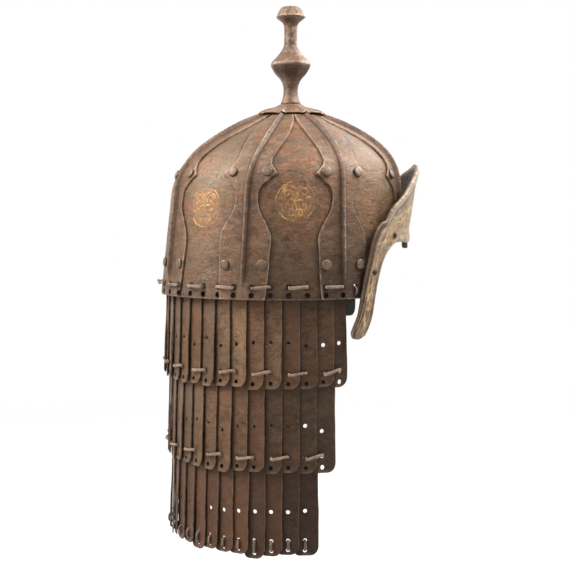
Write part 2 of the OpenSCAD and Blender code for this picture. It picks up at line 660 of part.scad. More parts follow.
// Stitches of the rim, one for each pair of holes, and the short upright end stitches
module rim_lacing() {
    n = row_1_side;
    out = rim_r + rim_bar_out;
    back = row_1_r - bar_in;
    tab_back = row_1_r - lap_rise() - tab_t - 2 * thong_r - 3 * thong_gap;
    color(leather) {
        for (i = [n:-2:2 - n])
            loop([polar(station(i), out, rim_hole_z), polar(station(i - 1), out, rim_hole_z),
                polar(station(i - 1), back, rim_hole_z + drop(1, i - 1)),
                polar(station(i), back, rim_hole_z + drop(1, i))], [0, 0, 1]);
        for (a = [-end_hole_deg, end_hole_deg])
            loop([polar(a, out - 0.5, rim_hole_z), polar(a, tab_back, rim_hole_z),
                polar(a, tab_back, rim_hole_low_z), polar(a, out - 0.5, rim_hole_low_z)],
                [-sin(a), cos(a), 0]);
    }
}
function lap_rise() = lam_w / 2 * sin(lap_deg) + lam_t / 2;

// Small leather tabs that hang inside the front ends of the rim
module end_tabs() {
    outer = row_1_r - lap_rise() - thong_gap;
    color([0.2, 0.17, 0.15])
    for (a = [-end_hole_deg, end_hole_deg])
        rotate([0, 0, a])
        difference() {
            translate([outer - tab_t, 0, 0]) rotate([90, 0, 90]) linear_extrude(tab_t)
                polygon(concat(arc([tab_w / 2 - 5, 5 - tab_drop], 5, -90, 0),
                    arc([tab_w / 2 - 1, rim_hole_z + 2.5], 1, 0, 90),
                    arc([1 - tab_w / 2, rim_hole_z + 2.5], 1, 90, 180),
                    arc([5 - tab_w / 2, 5 - tab_drop], 5, 180, 270)));
            for (z = [rim_hole_z, rim_hole_low_z])
                translate([outer - 2 * tab_t, 0, z]) rotate([0, 90, 0]) cylinder(r = hole_r, h = 3 * tab_t);
        }
}

// Upright stitches through the two lowest holes of each lamella of the third row
module row_3_thongs() {
    color(leather)
    for (i = [-side_count(3):side_count(3)]) {
        a = station(i);
        lift = i == 0 ? back_lift : 0;
        up = hole_radius(3, lace_hole_up) + lift;
        low = hole_radius(3, low_hole_up) + lift;
        z_up = hole_height(3, i, lace_hole_up);
        z_low = hole_height(3, i, low_hole_up);
        off = lam_t / 2 + thong_r + thong_gap;
        loop([polar(a, up + off, z_up), polar(a, up - off, z_up),
            polar(a, low - off, z_low), polar(a, low + off, z_low)], [-sin(a), cos(a), 0]);
    }
}

inner_plate(1);  // inner_plate_1
inner_plate(2);  // inner_plate_2
inner_plate(3);  // inner_plate_3
inner_plate(4);  // inner_plate_4
inner_plate(5);  // inner_plate_5
inner_plate(6);  // inner_plate_6
inner_plate(7);  // inner_plate_7
inner_plate(8);  // inner_plate_8
ridged_plate(1);  // ridged_plate_1
ridged_plate(2);  // ridged_plate_2
ridged_plate(3);  // ridged_plate_3
ridged_plate(4);  // ridged_plate_4
ridged_plate(5);  // ridged_plate_5
ridged_plate(6);  // ridged_plate_6
ridged_plate(7);  // ridged_plate_7
ridged_plate(8);  // ridged_plate_8
plate_rivets();
apex_plate();
finial();
finial_washer();
brow_plate();
brow_rivets();
rim_lacing();
end_tabs();
lamellae(1, [-2:2]);  // row_1_back
lamellae(1, [3:5]);  // row_1_right_1
lamellae(1, [6:8]);  // row_1_right_2
lamellae(1, [9:11]);  // row_1_right_3
lamellae(1, [12:14]);  // row_1_right_4
lamellae(1, [-5:-3]);  // row_1_left_1
lamellae(1, [-8:-6]);  // row_1_left_2
lamellae(1, [-11:-9]);  // row_1_left_3
lamellae(1, [-14:-12]);  // row_1_left_4
row_lacing(1);  // row_1_lacing
lamellae(2, [-2:2]);  // row_2_back
lamellae(2, [3:5]);  // row_2_right_1
lamellae(2, [6:8]);  // row_2_right_2
lamellae(2, [9:11]);  // row_2_right_3
lamellae(2, [12:13]);  // row_2_right_4
lamellae(2, [-5:-3]);  // row_2_left_1
lamellae(2, [-8:-6]);  // row_2_left_2
lamellae(2, [-11:-9]);  // row_2_left_3
lamellae(2, [-13:-12]);  // row_2_left_4
row_lacing(2);  // row_2_lacing
lamellae(3, [-2:2]);  // row_3_back
lamellae(3, [3:5]);  // row_3_right_1
lamellae(3, [6:8]);  // row_3_right_2
lamellae(3, [9:12]);  // row_3_right_3
lamellae(3, [-5:-3]);  // row_3_left_1
lamellae(3, [-8:-6]);  // row_3_left_2
lamellae(3, [-12:-9]);  // row_3_left_3
row_3_thongs();
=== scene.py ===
import bpy
import numpy as np
from math import pi, sin, cos, radians
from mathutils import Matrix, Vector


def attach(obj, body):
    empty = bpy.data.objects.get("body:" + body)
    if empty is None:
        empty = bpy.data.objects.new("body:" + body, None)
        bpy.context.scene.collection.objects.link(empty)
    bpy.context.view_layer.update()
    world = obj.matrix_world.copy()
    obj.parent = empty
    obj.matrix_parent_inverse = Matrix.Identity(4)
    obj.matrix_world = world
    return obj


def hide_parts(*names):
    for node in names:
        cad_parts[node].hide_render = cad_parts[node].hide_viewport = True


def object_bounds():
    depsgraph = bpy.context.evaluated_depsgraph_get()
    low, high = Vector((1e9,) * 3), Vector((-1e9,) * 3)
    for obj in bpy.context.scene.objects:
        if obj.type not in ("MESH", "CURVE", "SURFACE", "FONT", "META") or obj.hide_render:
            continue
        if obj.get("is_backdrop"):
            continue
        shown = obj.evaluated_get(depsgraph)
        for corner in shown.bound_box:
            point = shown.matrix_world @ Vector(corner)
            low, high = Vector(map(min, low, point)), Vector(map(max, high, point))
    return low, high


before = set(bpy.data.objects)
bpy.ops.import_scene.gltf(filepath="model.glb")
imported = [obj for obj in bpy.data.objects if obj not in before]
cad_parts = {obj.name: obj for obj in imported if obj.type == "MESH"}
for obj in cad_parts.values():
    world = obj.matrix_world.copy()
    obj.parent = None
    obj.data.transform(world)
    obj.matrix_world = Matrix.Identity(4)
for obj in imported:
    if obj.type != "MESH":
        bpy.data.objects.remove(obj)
cadBox = [list(map(float, corner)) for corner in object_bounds()]
print("frame loaded")

# The bowl's form, in millimetres
bowl = dict(
    rimR=111.6, wallTaper=0.078, shoulderZ=79.0, crownZ=178.6, shoulderPower=3.48, crownPower=1.78,
    axisX=2.5, crownX=8.2, leanFrom=85.0, leanTo=148.0, crownTurn=4.0, turnFrom=105.0, turnTo=150.0,
    innerT=1.3, ridgedT=1.5, layerGap=0.12, apexT=1.3,
)
ridgedIn = bowl["layerGap"]
ridgedOut = ridgedIn + bowl["ridgedT"]
apexIn = ridgedOut + bowl["layerGap"]
apexOut = apexIn + bowl["apexT"]
pitch = 8  # degrees round the rim from one hanging strip to the next


def station(i):
    # Angle of strip i, counted from the middle of the back
    return 180 + pitch * i


def apart(a, b=0.0):
    # Degrees between two directions, 0 to 180
    return np.abs((a - b + 180) % 360 - 180)


def ease(t):
    # Goes from 0 to 1 with soft ends: t squared times (3 - 2t), held outside 0..1
    u = np.clip(t, 0, 1)
    return u * u * (3 - 2 * u)


def baseR(z):
    # Radius at height z: the tapering wall times (1 - t^p)^q, where t runs from the shoulder to the crown
    t = np.clip((z - bowl["shoulderZ"]) / (bowl["crownZ"] - bowl["shoulderZ"]), 0, 1)
    return (bowl["rimR"] - bowl["wallTaper"] * z) * (1 - t ** bowl["shoulderPower"]) ** bowl["crownPower"]


def ringX(z):
    # Forward offset of the circle at height z: straight up to leanFrom, then eased to the crown's
    high = bowl["axisX"] + (bowl["crownX"] - bowl["axisX"]) * ease(
        (z - bowl["leanFrom"]) / (bowl["leanTo"] - bowl["leanFrom"]))
    return np.where(z < bowl["leanFrom"], bowl["axisX"] * z / bowl["leanFrom"], high)


def rise(z):
    # Slope of the outward normal above the horizontal, from the radius half a millimetre either side
    low = np.maximum(0, z - 0.5)
    return np.arctan(baseR(low) - baseR(low + 1))


def turned(a, z):
    # Direction at height z of the line that starts at angle a on the rim, in degrees
    return a + bowl["crownTurn"] * ease((z - bowl["turnFrom"]) / (bowl["turnTo"] - bowl["turnFrom"])) * np.sin(
        np.radians(2 * a))


def bowlPoint(a, z, h, direct=False):
    # Point at angle a and height z, h outward along the bowl's normal
    a, z, h = np.broadcast_arrays(np.asarray(a, float), np.asarray(z, float), np.asarray(h, float))
    up = rise(z)
    r = baseR(z) + h * np.cos(up)
    b = np.radians(a if direct else turned(a, z))
    return np.stack([ringX(z) + r * np.cos(b), r * np.sin(b), z + h * np.sin(up)], axis=-1)


def sideways(middle, z, s):
    # Direction of the point s mm aside of the line at angle middle, measured square to that line's plane
    start = np.radians(turned(middle, z) - middle)
    return middle + np.degrees(np.arcsin(np.clip(np.sin(start) + s / np.maximum(baseR(z), 4), -1, 1)))


def smoothCurve(x, points):
    # Cubic curve through the points (x, y), with slopes from the neighbouring points
    xs, ys = np.array(points, float).T
    slope = np.gradient(ys, xs)
    i = np.clip(np.searchsorted(xs, x) - 1, 0, len(xs) - 2)
    d = xs[i + 1] - xs[i]
    t = np.clip((x - xs[i]) / d, 0, 1)
    return ((2 * t ** 3 - 3 * t ** 2 + 1) * ys[i] + (t ** 3 - 2 * t ** 2 + t) * d * slope[i]
            + (3 * t ** 2 - 2 * t ** 3) * ys[i + 1] + (t ** 3 - t ** 2) * d * slope[i + 1])


def squared(c, power):
    # Sine or cosine pushed outward, so that a circle becomes a rounded square
    return np.sign(c) * np.abs(c) ** power


def wobble(x, seed, scale):
    # Slow irregular wave of x from three sines with seeded phases
    r = np.random.default_rng(seed)
    p = r.uniform(0, 2 * pi, 3)
    k = np.array([1.0, 2.3, 4.1]) / scale
    x = np.asarray(x, float)[..., None]
    return (np.sin(x * k * 2 * pi + p) * [0.55, 0.3, 0.15]).sum(-1)


# Mesh making
def gridFaces(rows, cols, wrap=False):
    # Quads between neighbouring points of a grid stored row by row; wrap joins the last column to the first
    r, c = np.meshgrid(np.arange(rows - 1), np.arange(cols if wrap else cols - 1), indexing="ij")
    n = (c + 1) % cols
    low, high = r * cols, (r + 1) * cols
    return np.stack([low + c, low + n, high + n, high + c], axis=-1).reshape(-1, 4)


def sheetFaces(rows, cols):
    # Closed sheet of an outer grid followed by an inner grid of the same size: both faces and the four edges
    outer = gridFaces(rows, cols)
    n = rows * cols
    r, c = np.arange(rows - 1) * cols, np.arange(cols - 1)
    last = cols - 1
    top = (rows - 1) * cols + c
    return np.concatenate([
        outer, outer[:, ::-1] + n,
        np.stack([r, r + cols, r + cols + n, r + n], 1),
        np.stack([r + last, r + last + n, r + cols + last + n, r + cols + last], 1),
        np.stack([c, c + n, c + 1 + n, c + 1], 1),
        np.stack([top, top + 1, top + 1 + n, top + n], 1)])


def ringFaces(rows, cols, closedPath=False):
    # Tube of rings of cols points each; an open path is closed with a flat face at each end
    if closedPath:
        r, c = np.meshgrid(np.arange(rows), np.arange(cols), indexing="ij")
        n, q = (c + 1) % cols, (r + 1) % rows
        return np.stack([r * cols + c, r * cols + n, q * cols + n, q * cols + c], -1).reshape(-1, 4).tolist()
    ends = [list(range(cols - 1, -1, -1)), list(range((rows - 1) * cols, rows * cols))]
    return gridFaces(rows, cols, wrap=True).tolist() + ends


def poleFaces(rows, cols):
    # Rings of cols points, closed with a fan to the lower pole and one to the upper pole, stored after them
    c = np.arange(cols)
    d, last, low = (c + 1) % cols, (rows - 1) * cols, rows * cols
    return (gridFaces(rows, cols, wrap=True).tolist() + np.stack([d, c, c * 0 + low], 1).tolist()
            + np.stack([last + c, last + d, c * 0 + low + 1], 1).tolist())


def newMesh(name, points, faces, sharp=35):
    mesh = bpy.data.meshes.new(name)
    mesh.from_pydata(np.asarray(points, float).reshape(-1, 3) * 0.001, [], [list(map(int, f)) for f in faces])
    mesh.update()
    mesh.polygons.foreach_set("use_smooth", np.ones(len(mesh.polygons), bool))
    if sharp:
        mesh.set_sharp_from_angle(angle=radians(sharp))
    return mesh


def addMarks(mesh, **marks):
    # Numbers at the points, which the materials read by name; a single number goes to every point
    for name, values in marks.items():
        values = np.asarray(values, np.float32).reshape(-1)
        layer = mesh.attributes.new(name, "FLOAT", "POINT")
        layer.data.foreach_set("value", values if len(values) > 1 else values.repeat(len(mesh.vertices)))


def pointsOf(mesh):
    flat = np.zeros(len(mesh.vertices) * 3)
    mesh.vertices.foreach_get("co", flat)
    return flat.reshape(-1, 3) * 1000


def linked(name, data):
    # New object of a mesh, lamp or camera, in the scene
    made = bpy.data.objects.new(name, data)
    bpy.context.scene.collection.objects.link(made)
    return made


def place(name, mesh, material, body, replaced=()):
    piece = linked(name, mesh)
    mesh.materials.clear()
    mesh.materials.append(material)
    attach(piece, body)
    if replaced:
        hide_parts(*replaced)


def finished(mesh, cutters=(), bevel=0, sharp=35):
    # The mesh after the cutters are taken out of it and its edges are bevelled
    piece = linked("work", mesh)
    for cutter in cutters:
        step = piece.modifiers.new("cut", "BOOLEAN")
        step.operation, step.solver, step.object = "DIFFERENCE", "EXACT", cutter
    if bevel:
        step = piece.modifiers.new("bevel", "BEVEL")
        step.width, step.segments, step.limit_method, step.angle_limit = bevel * 0.001, 2, "ANGLE", radians(50)
    bpy.context.view_layer.update()
    done = bpy.data.meshes.new_from_object(piece.evaluated_get(bpy.context.evaluated_depsgraph_get()))
    bpy.data.objects.remove(piece)
    done.polygons.foreach_set("use_smooth", np.ones(len(done.polygons), bool))
    if sharp:
        done.set_sharp_from_angle(angle=radians(sharp))
    return done


def joined(made):
    # One list of points and faces from many pairs of them, with the faces numbered on
    start, faces = 0, []
    for points, own, *_ in made:
        faces += [[v + start for v in face] for face in own]
        start += len(points)
    return np.concatenate([m[0] for m in made]), faces


def revolved(profile, sides, radiusOf=None):
    # Closed solid of revolution: the profile (r, z) from pole to pole, carried round the Z axis
    r, z = np.array(profile, float).T
    a = np.arange(sides) * 2 * pi / sides
    body = r[1:-1, None] * np.ones(sides)
    if radiusOf is not None:
        body = radiusOf(body, a[None, :], z[1:-1, None])
    heights = np.broadcast_to(z[1:-1, None], body.shape)
    ring = np.stack([body * np.cos(a), body * np.sin(a), heights], -1).reshape(-1, 3)
    return np.concatenate([ring, [[0, 0, z[0]], [0, 0, z[-1]]]]), poleFaces(len(r) - 2, sides)


def turnAbout(x, y, angle):
    # Both coordinates turned about the origin, angle in radians
    return x * cos(angle) - y * sin(angle), x * sin(angle) + y * cos(angle)


# Materials
def linear(r, g, b):
    # Colour as written on a swatch, 0..255, in the renderer's linear values
    c = np.array([r, g, b]) / 255
    return (*np.where(c <= 0.04045, c / 12.92, ((c + 0.055) / 1.055) ** 2.4), 1.0)


def fill(tree, made, values):
    # Each input gets its link or its plain value
    for key, value in values.items():
        if isinstance(value, bpy.types.NodeSocket):
            tree.links.new(value, made.inputs[key])
        else:
            made.inputs[key].default_value = value
    return made


def node(tree, kind, values=None, **settings):
    made = tree.nodes.new("ShaderNode" + kind)
    for key, value in settings.items():
        setattr(made, key, value)
    return fill(tree, made, values or {})


def calc(tree, how, a, b=0.0, clamp=False):
    return node(tree, "Math", {0: a, 1: b}, operation=how, use_clamp=clamp).outputs[0]


def times(tree, a, b, clamp=False):
    return calc(tree, "MULTIPLY", a, b, clamp)


def total(tree, first, *others):
    for value in others:
        first = calc(tree, "ADD", first, value)
    return first


def blendColor(tree, amount, a, b, how="MIX"):
    return node(tree, "Mix", {0: amount, 6: a, 7: b}, data_type="RGBA", blend_type=how).outputs[2]


def toned(tree, color, tone):
    grey = node(tree, "CombineColor", {0: tone, 1: tone, 2: tone}).outputs[0]
    return blendColor(tree, 1.0, color, grey, "MULTIPLY")


def spread(tree, value, low, high, to=(0.0, 1.0)):
    return node(tree, "MapRange", {0: value, 1: low, 2: high, 3: to[0], 4: to[1]}).outputs[0]


def cloud(tree, where, scale, detail=5.0, rough=0.6, distort=0.0):
    return node(tree, "TexNoise", {"Vector": where, "Scale": scale, "Detail": detail, "Roughness": rough,
                                   "Distortion": distort}).outputs["Fac"]


def mark(tree, name):
    return node(tree, "Attribute", attribute_name=name).outputs["Fac"]


def newGroup(name, inputs, outputs):
    tree = bpy.data.node_groups.new(name, "ShaderNodeTree")
    for label, kind, value in inputs:
        socket = tree.interface.new_socket(label, in_out="INPUT", socket_type="NodeSocket" + kind)
        if value is not None:
            socket.default_value = value
    for label, kind in outputs:
        tree.interface.new_socket(label, in_out="OUTPUT", socket_type="NodeSocket" + kind)
    return tree, tree.nodes.new("NodeGroupInput").outputs, tree.nodes.new("NodeGroupOutput")


def useGroup(tree, group, values):
    made = tree.nodes.new("ShaderNodeGroup")
    made.node_tree = group
    return fill(tree, made, values).outputs


def newMaterial(name):
    # New material with its node tree, its shader and the Object coordinates
    made = bpy.data.materials.new(name)
    made.use_nodes = True
    tree = made.node_tree
    return made, tree, tree.nodes["Principled BSDF"], node(tree, "TexCoord").outputs["Object"]


def relief(tree, shader, height, strength, distance):
    bump = node(tree, "Bump", {"Height": height, "Strength": strength, "Distance": distance})
    tree.links.new(bump.outputs[0], shader.inputs["Normal"])


def makePatina():
    # Old forged iron: brown skin with rust, rubbed grey places, speckle and small dark pits, a little drawn out
    tree, given, out = newGroup("ironPatina", [
        ("Where", "Vector", None), ("Brown", "Color", linear(118, 92, 74)),
        ("Rust", "Color", linear(146, 88, 60)), ("Grey", "Color", linear(124, 116, 108)),
        ("Dark", "Color", linear(52, 39, 33)),
        ("RustAmount", "Float", 0.5), ("GreyAmount", "Float", 0.5), ("Grain", "Float", 1.0)],
        [("Color", "Color"), ("Roughness", "Float"), ("Height", "Float")])
    where = given["Where"]
    across = node(tree, "VectorMath", {0: where, 1: (1.0, 1.0, 1.7)}, operation="MULTIPLY").outputs[0]

    def moved(x, y, z):
        return node(tree, "VectorMath", {0: across, 1: (x, y, z)}).outputs[0]

    broad = cloud(tree, where, 23.0, 5.0, 0.62, 0.4)
    mottle = cloud(tree, across, 120.0, 9.0, 0.76, 0.5)
    rustField = cloud(tree, moved(0.31, 0.17, 0.05), 62.0, 10.0, 0.78, 0.9)
    flecks = cloud(tree, moved(0.52, 0.11, 0.37), 320.0, 6.0, 0.72, 0.3)
    greyField = cloud(tree, moved(0.77, 0.41, 0.23), 36.0, 8.0, 0.74, 0.4)
    stain = cloud(tree, moved(0.13, 0.9, 0.4), 66.0, 8.0, 0.78, 0.5)
    speckle = cloud(tree, where, 900.0, 3.0, 0.7)
    pits = node(tree, "TexVoronoi", {"Vector": where, "Scale": 420.0, "Randomness": 1.0}).outputs["Distance"]

    rust = total(tree, times(tree, rustField, 0.66), times(tree, flecks, 0.34))
    rust = times(tree, spread(tree, rust, 0.475, 0.585), given["RustAmount"], True)
    grey = times(tree, spread(tree, greyField, 0.47, 0.62), given["GreyAmount"], True)
    orange = times(tree, times(tree, spread(tree, flecks, 0.55, 0.66), rust), 0.5, True)
    pit = times(tree, spread(tree, pits, 0.26, 0.12), spread(tree, flecks, 0.5, 0.60), True)
    shade = total(tree, spread(tree, broad, 0.3, 0.7, (0.80, 1.18)),
                  spread(tree, mottle, 0.3, 0.7, (-0.6, 0.54)), spread(tree, speckle, 0.3, 0.7, (-0.26, 0.26)))
    color = blendColor(tree, grey, given["Brown"], given["Grey"])
    color = blendColor(tree, rust, color, given["Rust"])
    # Small brighter orange flecks within the rust
    color = toned(tree, blendColor(tree, orange, color, linear(154, 98, 58)), shade)
    color = blendColor(tree, times(tree, pit, 0.8), color, given["Dark"])
    color = blendColor(tree, times(tree, spread(tree, stain, 0.54, 0.70), 0.8), color, given["Dark"])
    tree.links.new(color, out.inputs["Color"])

    rough = total(tree, spread(tree, greyField, 0.35, 0.7, (0.44, 0.26)), times(tree, rust, 0.16),
                  spread(tree, mottle, 0.3, 0.7, (-0.06, 0.10)))
    tree.links.new(rough, out.inputs["Roughness"])
    bumps = total(tree, times(tree, broad, 0.9), times(tree, mottle, 0.5), times(tree, flecks, 0.22),
                  times(tree, speckle, 0.08))
    bumps = calc(tree, "SUBTRACT", bumps, times(tree, pit, 0.3))
    tree.links.new(times(tree, bumps, given["Grain"]), out.inputs["Height"])
    return tree


def makeWearAndPaintedLight():
    # Bare metal on worn edges and painted highlights, and dirt and painted shade in the corners and gaps, from
    # the marks made with the mesh
    tree, given, out = newGroup("edgeWearAndPaintedLight", [
        ("Where", "Vector", None), ("Color", "Color", None), ("Bright", "Color", linear(178, 154, 132)),
        ("Dirt", "Color", linear(44, 31, 25)), ("Worn", "Float", 0.0), ("Dirty", "Float", 0.0)],
        [("Color", "Color")])
    rub = cloud(tree, given["Where"], 260.0, 5.0, 0.7)
    worn = times(tree, given["Worn"], spread(tree, rub, 0.34, 0.58), True)
    dirty = times(tree, given["Dirty"], spread(tree, rub, 0.72, 0.30, (0.55, 1.0)), True)
    color = blendColor(tree, worn, given["Color"], given["Bright"])
    tree.links.new(blendColor(tree, dirty, color, given["Dirt"]), out.inputs["Color"])
    return tree


patina, wearAndPaintedLight = makePatina(), makeWearAndPaintedLight()


def ironMaterial(name, look, metallic=0.27, bump=0.0024, grain=1.0, specular=0.3, rougher=0.0):
    # Iron from the patina, toned by the mesh's marks; its rust thins from the higher to the lower height
    made, tree, shader, where = newMaterial(name)
    height = node(tree, "SeparateXYZ", {0: where}).outputs["Z"]
    low, high, share = look["rustHeights"]
    rust = times(tree, spread(tree, height, low, high, (share, 1.0)), look["rust"])
    skin = useGroup(tree, patina, {
        "Where": where, "Grain": grain, "Brown": linear(*look["brown"]), "Rust": linear(*look["red"]),
        "Grey": linear(*look["grey"]), "RustAmount": rust, "GreyAmount": look["rubbed"]})
    # The hue mark turns the colour to red above 0 and to olive below it
    hue = mark(tree, "hue")
    color = blendColor(tree, times(tree, hue, 0.24, True), skin["Color"], linear(112, 70, 50))
    color = blendColor(tree, times(tree, hue, -0.2, True), color, linear(94, 84, 66))
    kept = spread(tree, cloud(tree, where, 240.0, 7.0, 0.74), 0.40, 0.62)
    giltHue = blendColor(tree, spread(tree, height, 0.070, 0.088), linear(150, 108, 52), linear(156, 100, 66))
    color = blendColor(tree, times(tree, times(tree, mark(tree, "gilt"), kept, True), 0.8), color, giltHue)
    worn = useGroup(tree, wearAndPaintedLight, {"Where": where, "Color": toned(tree, color, mark(tree, "tone")),
                                 "Worn": mark(tree, "worn"), "Dirty": mark(tree, "dirty")})
    tree.links.new(worn["Color"], shader.inputs["Base Color"])
    tree.links.new(calc(tree, "ADD", skin["Roughness"], rougher), shader.inputs["Roughness"])
    shader.inputs["Metallic"].default_value = metallic
    shader.inputs["Specular IOR Level"].default_value = specular
    relief(tree, shader, skin["Height"], 0.75, bump)
    return made


# Colours of each kind of iron as on a swatch, how much of it is rust and rubbed grey, and where the rust thins
ironLook = dict(
    inner=dict(brown=(103, 77, 54), red=(130, 77, 47), grey=(101, 87, 71), rust=0.85, rubbed=0.55,
               rustHeights=(0.045, 0.115, 0.22)),
    ridged=dict(brown=(105, 80, 59), red=(125, 78, 49), grey=(112, 96, 79), rust=0.6, rubbed=0.55,
                rustHeights=(0.0, 0.14, 0.8)),
    rivet=dict(brown=(96, 78, 62), red=(104, 73, 51), grey=(108, 95, 81), rust=0.4, rubbed=0.7,
               rustHeights=(0.0, 0.1, 0.8)),
    finial=dict(brown=(102, 79, 62), red=(114, 73, 51), grey=(136, 121, 106), rust=0.55, rubbed=0.75,
                rustHeights=(0.1, 0.18, 0.8)),
    brow=dict(brown=(142, 121, 95), red=(122, 86, 58), grey=(168, 153, 132), rust=0.4, rubbed=0.75,
              rustHeights=(0.0, 0.1, 1.0)),
    lamella=dict(brown=(81, 61, 43), red=(94, 61, 41), grey=(81, 68, 54), rust=0.5, rubbed=0.5,
                 rustHeights=(-0.2, 0.0, 0.8)),
)
innerIron = ironMaterial("inner_plate_iron", ironLook["inner"])
ridgedIron = ironMaterial("ridged_plate_iron", ironLook["ridged"])
rivetIron = ironMaterial("rivet_iron", ironLook["rivet"], grain=0.5)
finialIron = ironMaterial("finial_iron", ironLook["finial"], metallic=0.42, bump=0.0026, rougher=-0.1)
browIron = ironMaterial("brow_iron", ironLook["brow"], metallic=0.16)
lamellaIron = ironMaterial("lamella_iron", ironLook["lamella"], metallic=0.06, bump=0.0022, specular=0.17)


def leatherMaterial(name, pale, dark, rough):
    # Dried leather: fine creased grain, darker in the creases and along its worn marks
    made, tree, shader, where = newMaterial(name)
    creases = node(tree, "TexVoronoi", {"Vector": where, "Scale": 1500.0}, feature="DISTANCE_TO_EDGE")
    cells = creases.outputs["Distance"]
    patches = cloud(tree, where, 160.0, 5.0, 0.65)
    fibre = cloud(tree, where, 1100.0, 4.0, 0.7)
    color = blendColor(tree, spread(tree, patches, 0.38, 0.66), pale, dark)
    color = blendColor(tree, spread(tree, cells, 0.10, 0.0, (0.0, 0.5)), color, dark)
    tone = times(tree, mark(tree, "tone"), spread(tree, fibre, 0.3, 0.7, (0.82, 1.16)))
    tree.links.new(toned(tree, color, tone), shader.inputs["Base Color"])
    tree.links.new(spread(tree, patches, 0.3, 0.7, (rough - 0.1, rough + 0.12)), shader.inputs["Roughness"])
    relief(tree, shader, total(tree, spread(tree, cells, 0.0, 0.12), times(tree, fibre, 0.5)), 0.5, 0.0003)
    return made


thongLeather = leatherMaterial("thong_leather", linear(152, 126, 104), linear(100, 77, 61), 0.55)
tabLeather = leatherMaterial("tab_leather", linear(52, 42, 36), linear(30, 24, 21), 0.6)


def goldMaterial(name, pink, yellow, kept, lost):
    # Worn gold inlay: copper pink and yellow gold, rubbed through to the brown iron
    made, tree, shader, where = newMaterial(name)
    hue = cloud(tree, where, 60.0, 3.0, 0.5)
    rub = total(tree, times(tree, cloud(tree, where, 190.0, 5.0, 0.7), 0.45),
                times(tree, cloud(tree, where, 800.0, 3.0, 0.7), 0.25),
                times(tree, cloud(tree, where, 75.0, 3.0, 0.6), 0.3))
    gold = blendColor(tree, spread(tree, hue, 0.42, 0.58), linear(*pink), linear(*yellow))
    gone = spread(tree, rub, kept, lost)
    tree.links.new(blendColor(tree, gone, gold, linear(116, 88, 66)), shader.inputs["Base Color"])
    tree.links.new(spread(tree, gone, 0.0, 1.0, (0.42, 0.6)), shader.inputs["Roughness"])
    tree.links.new(spread(tree, gone, 0.0, 1.0, (0.55, 0.2)), shader.inputs["Metallic"])
    relief(tree, shader, rub, 0.4, 0.0004)
    return made


wornGold = goldMaterial("worn_gold", (178, 130, 94), (184, 146, 86), 0.43, 0.55)
browGold = goldMaterial("brow_gold", (194, 164, 124), (202, 174, 128), 0.46, 0.59)
print("materials made")


# Bowl plates
plates = dict(
    half=22.38, columns=26, openingH=51.0, openingHalf=90.0, neckFrom=105, topZ=163.5,
    outline=[[-1, 19.4], [11, 20.8], [26, 21.5], [42, 22.3], [51, 22.4], [55.5, 21.5], [60, 19.4],
             [65.5, 16.6], [71, 13.2], [77, 10.5], [84, 9.6], [90.5, 10.4], [96, 13.4], [98.6, 16.6],
             [101.8, 19.0], [105, 23.6]],
    neck=[[105, 23.6], [108.4, 21], [113, 16.8], [118.5, 15.3], [123, 15.5], [131, 16.3], [138, 16.8],
          [145, 16.2], [150, 15], [156, 12.4], [160.5, 9.7], [163.5, 8.0]],
    keelH=4.0, keelHalf=2.8, keelFoot=14.0, frontKeelFoot=60.0, edgeWobble=0.3, edgeLift=0.35,
)
gold = dict(width=0.66, high=0.05, roundelR=16.5)
# Angle and height of the gold roundels' centres
roundelSpots = [(-90, 82.0), (90, 82.0), (-135, 77.5), (135, 77.5), (180, 79.0)]
pinHole = dict(r=2.3, upper=10.5, lower=3.75)
endAngles = (61.5, -61.5)  # where the leather end tabs hang


def pinCutter(angles, heights, r, start=60.0, reach=100.0, sides=20):
    # Radial round bars, one at each angle and height, joined into one mesh
    a = (np.arange(sides) * 2 * pi / sides)[:, None]
    made = []
    for angle in angles:
        t = radians(angle)
        out, aside = np.array([cos(t), sin(t), 0]), np.array([-sin(t), cos(t), 0])
        for z in heights:
            ring = np.cos(a) * aside * r + np.sin(a) * np.array([0, 0, r]) + [0, 0, z]
            points = np.concatenate([ring + out * start, ring + out * (start + reach)])
            made.append((points, ringFaces(2, sides)))
    return joined(made)


rimAngles = [*map(station, range(-14, 15)), *endAngles]
rimPins = pinCutter(rimAngles, (pinHole["upper"], pinHole["lower"]), pinHole["r"])
rimCutter = linked("cutter", newMesh("rim_pins", *rimPins))


def holeDarkening(p):
    # Darkening beside the rim holes, fading with the distance from the nearest hole's edge
    turn = apart(np.degrees(np.arctan2(p[:, 1], p[:, 0]))[:, None], np.array(rimAngles, float))
    aside = np.radians(turn.min(axis=1)) * bowl["rimR"]
    up = np.minimum(np.abs(p[:, 2] - pinHole["upper"]), np.abs(p[:, 2] - pinHole["lower"]))
    return 0.95 * np.exp(-(np.clip(np.hypot(aside, up) - pinHole["r"], 0, 30) / 0.7) ** 2)


def openingCutter():
    # The arch of the face opening, drawn across the front and pushed forward
    w, h = plates["openingHalf"], plates["openingH"]
    arch = [[w, -1], [w - 1, 4], [w - 4.5, 18], [w - 10, 29], [w - 21, h - 11.5], [w - 34, h - 4],
            [w - 60, h - 1]]
    arch = np.array(arch + [[0, h]] + [[-y, z] for y, z in arch[::-1]], float)
    near = np.column_stack([np.full(len(arch), bowl["axisX"] + 20.0), arch])
    far = near + [160, 0, 0]
    return np.concatenate([near, far]), ringFaces(2, len(arch))


openingBar = linked("cutter", newMesh("opening", *openingCutter(), sharp=0))


def halfWidth(z):
    # Half width of a ridged plate at height z, with a cusp where the outline meets the neck
    cusp = plates["neckFrom"]
    return np.where(z <= cusp, smoothCurve(np.minimum(z, cusp), plates["outline"]),
                    smoothCurve(np.maximum(z, cusp), plates["neck"]))


def crownRows(count, top):
    t = np.sin(np.linspace(0, pi / 2, count * 2))
    z = bowl["shoulderZ"] + (bowl["crownZ"] - bowl["shoulderZ"]) * t
    return z[(z > bowl["shoulderZ"] + 1) & (z < top)]


